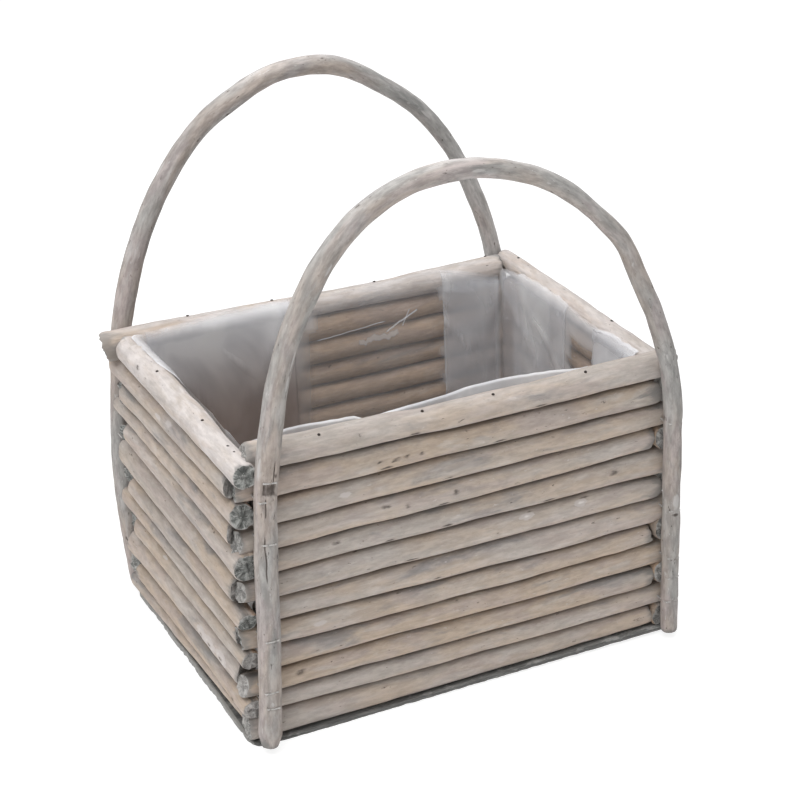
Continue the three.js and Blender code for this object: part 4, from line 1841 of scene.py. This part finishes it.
def end_grain_finish(name):
    """A rough cut end: green-grey, cracked from the pith outwards, with torn fibres and a paler rim."""
    finish = Finish(name)
    grain = finish.vector("grain")
    cut = finish.vector("cut")
    rim = finish.split(cut)[2]
    coarse = finish.noise(grain, (230, 230, 230), detail=4, roughness=0.62)
    fade = finish.number("fade")
    green = finish.blend(finish.ranged(coarse, 0.4, 0.62), (0.12, 0.13, 0.123), (0.32, 0.33, 0.315))
    grey = finish.blend(finish.ranged(coarse, 0.36, 0.6), (0.29, 0.275, 0.265), (0.5, 0.475, 0.455))
    colour = finish.blend(fade, green, grey)
    around = finish.node("ShaderNodeVectorMath", {0: cut}, operation="NORMALIZE").outputs["Vector"]
    drift = finish.stretched(grain, (6, 6, 6))
    shifted = finish.node("ShaderNodeVectorMath", {0: around, 1: drift}, operation="ADD").outputs["Vector"]
    fan = finish.noise(shifted, scale=5.0, detail=3, roughness=0.6, distortion=0.3)
    colour = finish.shaded(colour, finish.ranged(fan, 0.36, 0.64, 0.78, 1.16))
    crack = finish.noise(shifted, scale=1.9, detail=2, distortion=0.4)
    gap = finish.reckon("ABSOLUTE", finish.reckon("SUBTRACT", crack, 0.5), 0.0)
    crack_dark = finish.times(finish.ranged(gap, 0.0, 0.025, 0.75, 0), finish.ranged(fade, 0, 1, 1, 0.4))
    colour = finish.blend(crack_dark, colour, (0.05, 0.05, 0.047))
    torn = finish.noise(grain, (420, 420, 420), detail=3, roughness=0.6, distortion=1.0)
    colour = finish.cover(colour, (0.5, 0.495, 0.48), torn, 0.57, 0.66, 0.8)
    broken_rim = finish.plus(rim, finish.times(finish.reckon("SUBTRACT", coarse, 0.5), 0.8))
    colour = finish.cover(colour, (0.42, 0.41, 0.395), broken_rim, 0.88, 1.02, 0.8)
    height = finish.plus(finish.plus(coarse, fan), torn)
    return finish.done(Base_Color=colour, Roughness=0.93, Normal=finish.bump(height, 0.9 * MM))


def board_finish(name, tone):
    """Weathered board: dark grey, with long fibres, paler scuffs and painted light on its left side."""
    finish = Finish(name)
    place = finish.place()
    fibre = finish.noise(place, (40, 300, 900), detail=4, roughness=0.65)
    pale = tuple(2.1 * channel for channel in tone)
    deep = tuple(0.5 * channel for channel in tone)
    colour = finish.blend(finish.ranged(fibre, 0.36, 0.62), deep, tone)
    scuff = finish.noise(place, (70, 90, 260), detail=5, roughness=0.7)
    colour = finish.cover(colour, pale, scuff, 0.52, 0.7, 0.8)
    # Painted light: the board's left side, which faces the fill lamp, is painted paler
    painted_light_left_side = finish.ranged(finish.split(place)[0], -143.5 * MM, -144.2 * MM)
    colour = finish.blend(finish.times(painted_light_left_side, 0.75), colour, pale)
    return finish.done(
        Base_Color=colour,
        Roughness=finish.ranged(scuff, 0.3, 0.7, 0.82, 0.95),
        Normal=finish.bump(fibre, 0.6 * MM),
    )


def wire_finish(name, tone):
    """Staple wire, dulled by the wash, with bare and rusty spots."""
    finish = Finish(name)
    place = finish.place()
    dull = finish.noise(place, (700, 700, 700), detail=3)
    colour = finish.blend(finish.ranged(dull, 0.45, 0.7), tone, (0.28, 0.265, 0.25))
    rust = finish.noise(place, (420, 420, 420), detail=4, roughness=0.7)
    colour = finish.cover(colour, (0.12, 0.07, 0.045), rust, 0.62, 0.74, 0.7)
    roughness = finish.ranged(dull, 0.3, 0.7, 0.4, 0.7)
    normal = finish.bump(dull, 0.1 * MM)
    return finish.done(Base_Color=colour, Roughness=roughness, Metallic=0.4, Normal=normal)


def iron_finish(name):
    """Nail iron: nearly black, with rusty and rubbed spots."""
    finish = Finish(name)
    place = finish.place()
    spots = finish.noise(place, (900, 900, 900), detail=3)
    colour = finish.blend(finish.ranged(spots, 0.4, 0.66), (0.022, 0.02, 0.019), (0.075, 0.055, 0.045))
    return finish.done(
        Base_Color=colour,
        Roughness=finish.ranged(spots, 0.3, 0.7, 0.55, 0.8),
        Metallic=0.6,
        Normal=finish.bump(spots, 0.15 * MM),
    )


# Scratches in the back wall's film: their middle in X and Z, length, slope, width and opacity
FILM_SCRATCHES = (
    (mm(16, 167.5), 54 * MM, 0.075, 0.35 * MM, 0.7),
    (mm(54, 167.5), 28 * MM, 0.45, 0.7 * MM, 0.6),
    (mm(57, 169), 13 * MM, 1.1, 0.5 * MM, 0.5),
    (mm(36, 158.5), 32 * MM, 0.05, 2.4 * MM, 0.3),
)


def film_finish(name, settings):
    """Milky film: a thin veil that is whiter where the film lies double, along creases and in scratches."""
    finish = Finish(name)
    place = finish.place()
    crease = finish.number("crease")
    milk = finish.number("milk")
    cloud = finish.noise(place, (20, 20, 13), detail=3, distortion=0.7)
    veil = finish.times(milk, finish.ranged(cloud, 0.3, 0.7, 0.75, 1.25))
    streak = finish.noise(place, (120, 120, 25), detail=3, distortion=1.2)
    veil = finish.plus(veil, finish.times(crease, finish.ranged(streak, 0.45, 0.7, 0.0, 0.16)))
    x, y, z = finish.split(place)
    on_back = finish.ranged(y, 60 * MM, 70 * MM)
    flat = finish.node("ShaderNodeCombineXYZ", {"X": x, "Y": z, "Z": 0.0}).outputs["Vector"]
    for middle, length, slope, width, opacity in FILM_SCRATCHES:
        moved = finish.node(
            "ShaderNodeMapping",
            {"Vector": flat, "Location": (*middle, 0), "Rotation": (0, 0, slope)},
            vector_type="TEXTURE",
        ).outputs["Vector"]
        forward, across, _ = finish.split(moved)
        bent = finish.plus(across, finish.times(finish.reckon("SUBTRACT", streak, 0.5), 3 * width))
        thin = finish.ranged(finish.reckon("ABSOLUTE", bent, 0.0), 0.5 * width, 1.2 * width, 1, 0)
        within = finish.ranged(finish.reckon("ABSOLUTE", forward, 0.0), 0.42 * length, 0.5 * length, 1, 0)
        scratch = finish.times(finish.times(thin, within), on_back)
        veil = finish.plus(veil, finish.times(scratch, opacity))
    veil = finish.reckon("MINIMUM", veil, 0.92)
    roughness = finish.ranged(cloud, 0.3, 0.7, 0.3, 0.45)
    tint = finish.blend(finish.ranged(cloud, 0.35, 0.7), settings.colour, (0.9, 0.9, 0.91))
    # Painted shade: the film is tinted brown-grey where it lies in shade
    tint = finish.blend(finish.number("dusk"), tint, settings.dusk)
    normal = finish.bump(cloud, 0.6 * MM, 0.4)
    return finish.done(Base_Color=tint, Roughness=roughness, Alpha=veil, Normal=normal)


# Stage

# Where the lamps hang and how wide they are, and the point that they face
OVERHEAD_LAMP = ((-0.42, -0.2, 2.1), 2.0)
FILL_LAMP = ((-1.72, -1.0, 0.45), 1.1)
LAMP_AIM = (0, 0, 0.15)


def seen_directly(tree):
    """A factor that is 1 for camera, glossy and transmission rays and 0 for the light on the basket."""
    rays = tree.nodes.new("ShaderNodeLightPath").outputs
    seen = rays["Is Camera Ray"]
    for kind in ("Is Glossy Ray", "Is Transmission Ray"):
        either = tree.nodes.new("ShaderNodeMath")
        either.operation = "MAXIMUM"
        tree.links.new(seen, either.inputs[0])
        tree.links.new(rays[kind], either.inputs[1])
        seen = either.outputs["Value"]
    return seen


def floor_finish(settings):
    """A white floor that looks white in the picture, but keeps a soft shadow."""
    finish = Finish("white_floor")
    tree = finish.tree
    place = finish.place()
    mottle = finish.noise(place, scale=6.0, detail=2)
    base = finish.blend(finish.ranged(mottle, 0.3, 0.7, 0, 0.06), settings.floor, (1, 1, 1))
    seen = seen_directly(tree)
    dimmed = finish.blend(seen, base, (0.3, 0.3, 0.3))
    glow = finish.times(seen, 0.82)
    return finish.done(
        Base_Color=dimmed,
        Roughness=0.95,
        Emission_Color=(1, 1, 1, 1),
        Emission_Strength=glow,
    )


def light_world(settings):
    """Even light all round, on a background that looks white."""
    world = bpy.data.worlds.new("white_room")
    world.use_nodes = True
    tree = world.node_tree
    background = tree.nodes["Background"]
    background.inputs["Color"].default_value = (1, 1, 1, 1)
    strength = tree.nodes.new("ShaderNodeMapRange")
    tree.links.new(seen_directly(tree), strength.inputs["Value"])
    strength.inputs["To Min"].default_value = settings.sky
    strength.inputs["To Max"].default_value = 1
    tree.links.new(strength.outputs["Result"], background.inputs["Strength"])
    bpy.context.scene.world = world


def add_lamp(name, place, side, power):
    """A large square lamp that faces the basket."""
    lamp = bpy.data.lights.new(name, "AREA")
    lamp.shape = "SQUARE"
    lamp.size = side
    lamp.energy = power
    holder = bpy.data.objects.new(name, lamp)
    bpy.context.scene.collection.objects.link(holder)
    aim = Vector(LAMP_AIM) - Vector(place)
    holder.matrix_world = Matrix.Translation(place) @ aim.to_track_quat("-Z", "Y").to_matrix().to_4x4()


def add_camera(settings):
    """The camera at the viewing angle, for a square picture."""
    turn, rise, roll = settings.turn, settings.rise, settings.roll
    back = Vector((math.sin(turn) * math.cos(rise), -math.cos(turn) * math.cos(rise), math.sin(rise)))
    level = (-back).cross(Vector((0, 0, 1))).normalized()
    upright = level.cross(-back)
    right = math.cos(roll) * level + math.sin(roll) * upright
    up = math.cos(roll) * upright - math.sin(roll) * level
    place = settings.distance * back + settings.shift_right * right + settings.shift_up * up
    data = bpy.data.cameras.new("camera")
    data.lens = settings.lens
    data.sensor_width = 36
    data.sensor_fit = "HORIZONTAL"
    camera = bpy.data.objects.new("camera", data)
    bpy.context.scene.collection.objects.link(camera)
    facing = Matrix((right, up, back)).transposed().to_4x4()
    camera.matrix_world = Matrix.Translation(place) @ facing
    bpy.context.scene.camera = camera


def add_stage(settings):
    """Camera, floor, lamps and world."""
    add_camera(settings)
    bm = bmesh.new()
    bmesh.ops.create_grid(bm, x_segments=8, y_segments=8, size=settings.floor_side / 2)
    floor = bpy.data.objects.new("floor", mesh_from(bm, "floor"))
    floor.data.materials.append(floor_finish(settings))
    bpy.context.scene.collection.objects.link(floor)
    add_lamp("overhead_lamp", *OVERHEAD_LAMP, settings.overhead)
    add_lamp("fill_lamp", *FILL_LAMP, settings.fill)
    light_world(settings)
    bpy.context.scene.view_settings.view_transform = "Standard"


# Operators and panel

class BASKET_OT_wall_sticks(bpy.types.Operator):
    """Build the wall sticks of all layers below the rails"""

    bl_idname = "basket.wall_sticks"
    bl_label = "Wall Sticks"

    def execute(self, context):
        add_sticks(range(RAIL), context.scene.basket_sticks)
        return {"FINISHED"}


class BASKET_OT_top_rails(bpy.types.Operator):
    """Build the four top rails"""

    bl_idname = "basket.top_rails"
    bl_label = "Top Rails"

    def execute(self, context):
        add_sticks((RAIL,), context.scene.basket_sticks)
        return {"FINISHED"}


class BASKET_OT_bent_rods(bpy.types.Operator):
    """Build the two bent handle rods"""

    bl_idname = "basket.bent_rods"
    bl_label = "Handle Rods"

    def execute(self, context):
        add_handles(context.scene.basket_handles)
        return {"FINISHED"}


class BASKET_OT_staples(bpy.types.Operator):
    """Build the staples through the handle legs"""

    bl_idname = "basket.staples"
    bl_label = "Staples"

    def execute(self, context):
        add_staples(context.scene.basket_fittings)
        return {"FINISHED"}


class BASKET_OT_nails(bpy.types.Operator):
    """Build the nails in the rails"""

    bl_idname = "basket.nails"
    bl_label = "Rail Nails"

    def execute(self, context):
        add_nails(context.scene.basket_fittings, context.scene.basket_sticks)
        return {"FINISHED"}


class BASKET_OT_board(bpy.types.Operator):
    """Build the base board"""

    bl_idname = "basket.board"
    bl_label = "Base Board"

    def execute(self, context):
        add_board(context.scene.basket_fittings)
        return {"FINISHED"}


class BASKET_OT_film(bpy.types.Operator):
    """Build the film liner"""

    bl_idname = "basket.film"
    bl_label = "Film Liner"

    def execute(self, context):
        add_film(context.scene.basket_film)
        return {"FINISHED"}


class BASKET_OT_stage(bpy.types.Operator):
    """Set up the camera, the floor and the light"""

    bl_idname = "basket.stage"
    bl_label = "Stage"

    def execute(self, context):
        add_stage(context.scene.basket_stage)
        return {"FINISHED"}


OPERATORS = (
    BASKET_OT_stage,
    BASKET_OT_wall_sticks,
    BASKET_OT_top_rails,
    BASKET_OT_bent_rods,
    BASKET_OT_staples,
    BASKET_OT_nails,
    BASKET_OT_board,
    BASKET_OT_film,
)


class BASKET_PT_pieces(bpy.types.Panel):
    """Buttons for the pieces of the basket"""

    bl_idname = "BASKET_PT_pieces"
    bl_label = "Stick Basket Planter"
    bl_space_type = "VIEW_3D"
    bl_region_type = "UI"
    bl_category = "Basket"

    def draw(self, context):
        for operator in OPERATORS:
            self.layout.operator(operator.bl_idname)


SETTINGS = {
    "basket_sticks": StickSettings,
    "basket_handles": HandleSettings,
    "basket_film": FilmSettings,
    "basket_fittings": FittingSettings,
    "basket_stage": StageSettings,
}


def register():
    for group in SETTINGS.values():
        bpy.utils.register_class(group)
    for name, group in SETTINGS.items():
        setattr(bpy.types.Scene, name, PointerProperty(type=group))
    for operator in OPERATORS:
        bpy.utils.register_class(operator)
    bpy.utils.register_class(BASKET_PT_pieces)


def unregister():
    bpy.utils.unregister_class(BASKET_PT_pieces)
    for operator in reversed(OPERATORS):
        bpy.utils.unregister_class(operator)
    for name in SETTINGS:
        delattr(bpy.types.Scene, name)
    for group in reversed(SETTINGS.values()):
        bpy.utils.unregister_class(group)


def main():
    register()
    bpy.ops.basket.stage()
    bpy.ops.basket.wall_sticks()
    bpy.ops.basket.top_rails()
    bpy.ops.basket.bent_rods()
    bpy.ops.basket.staples()
    bpy.ops.basket.nails()
    bpy.ops.basket.board()
    bpy.ops.basket.film()


if __name__ == "__main__":
    main()
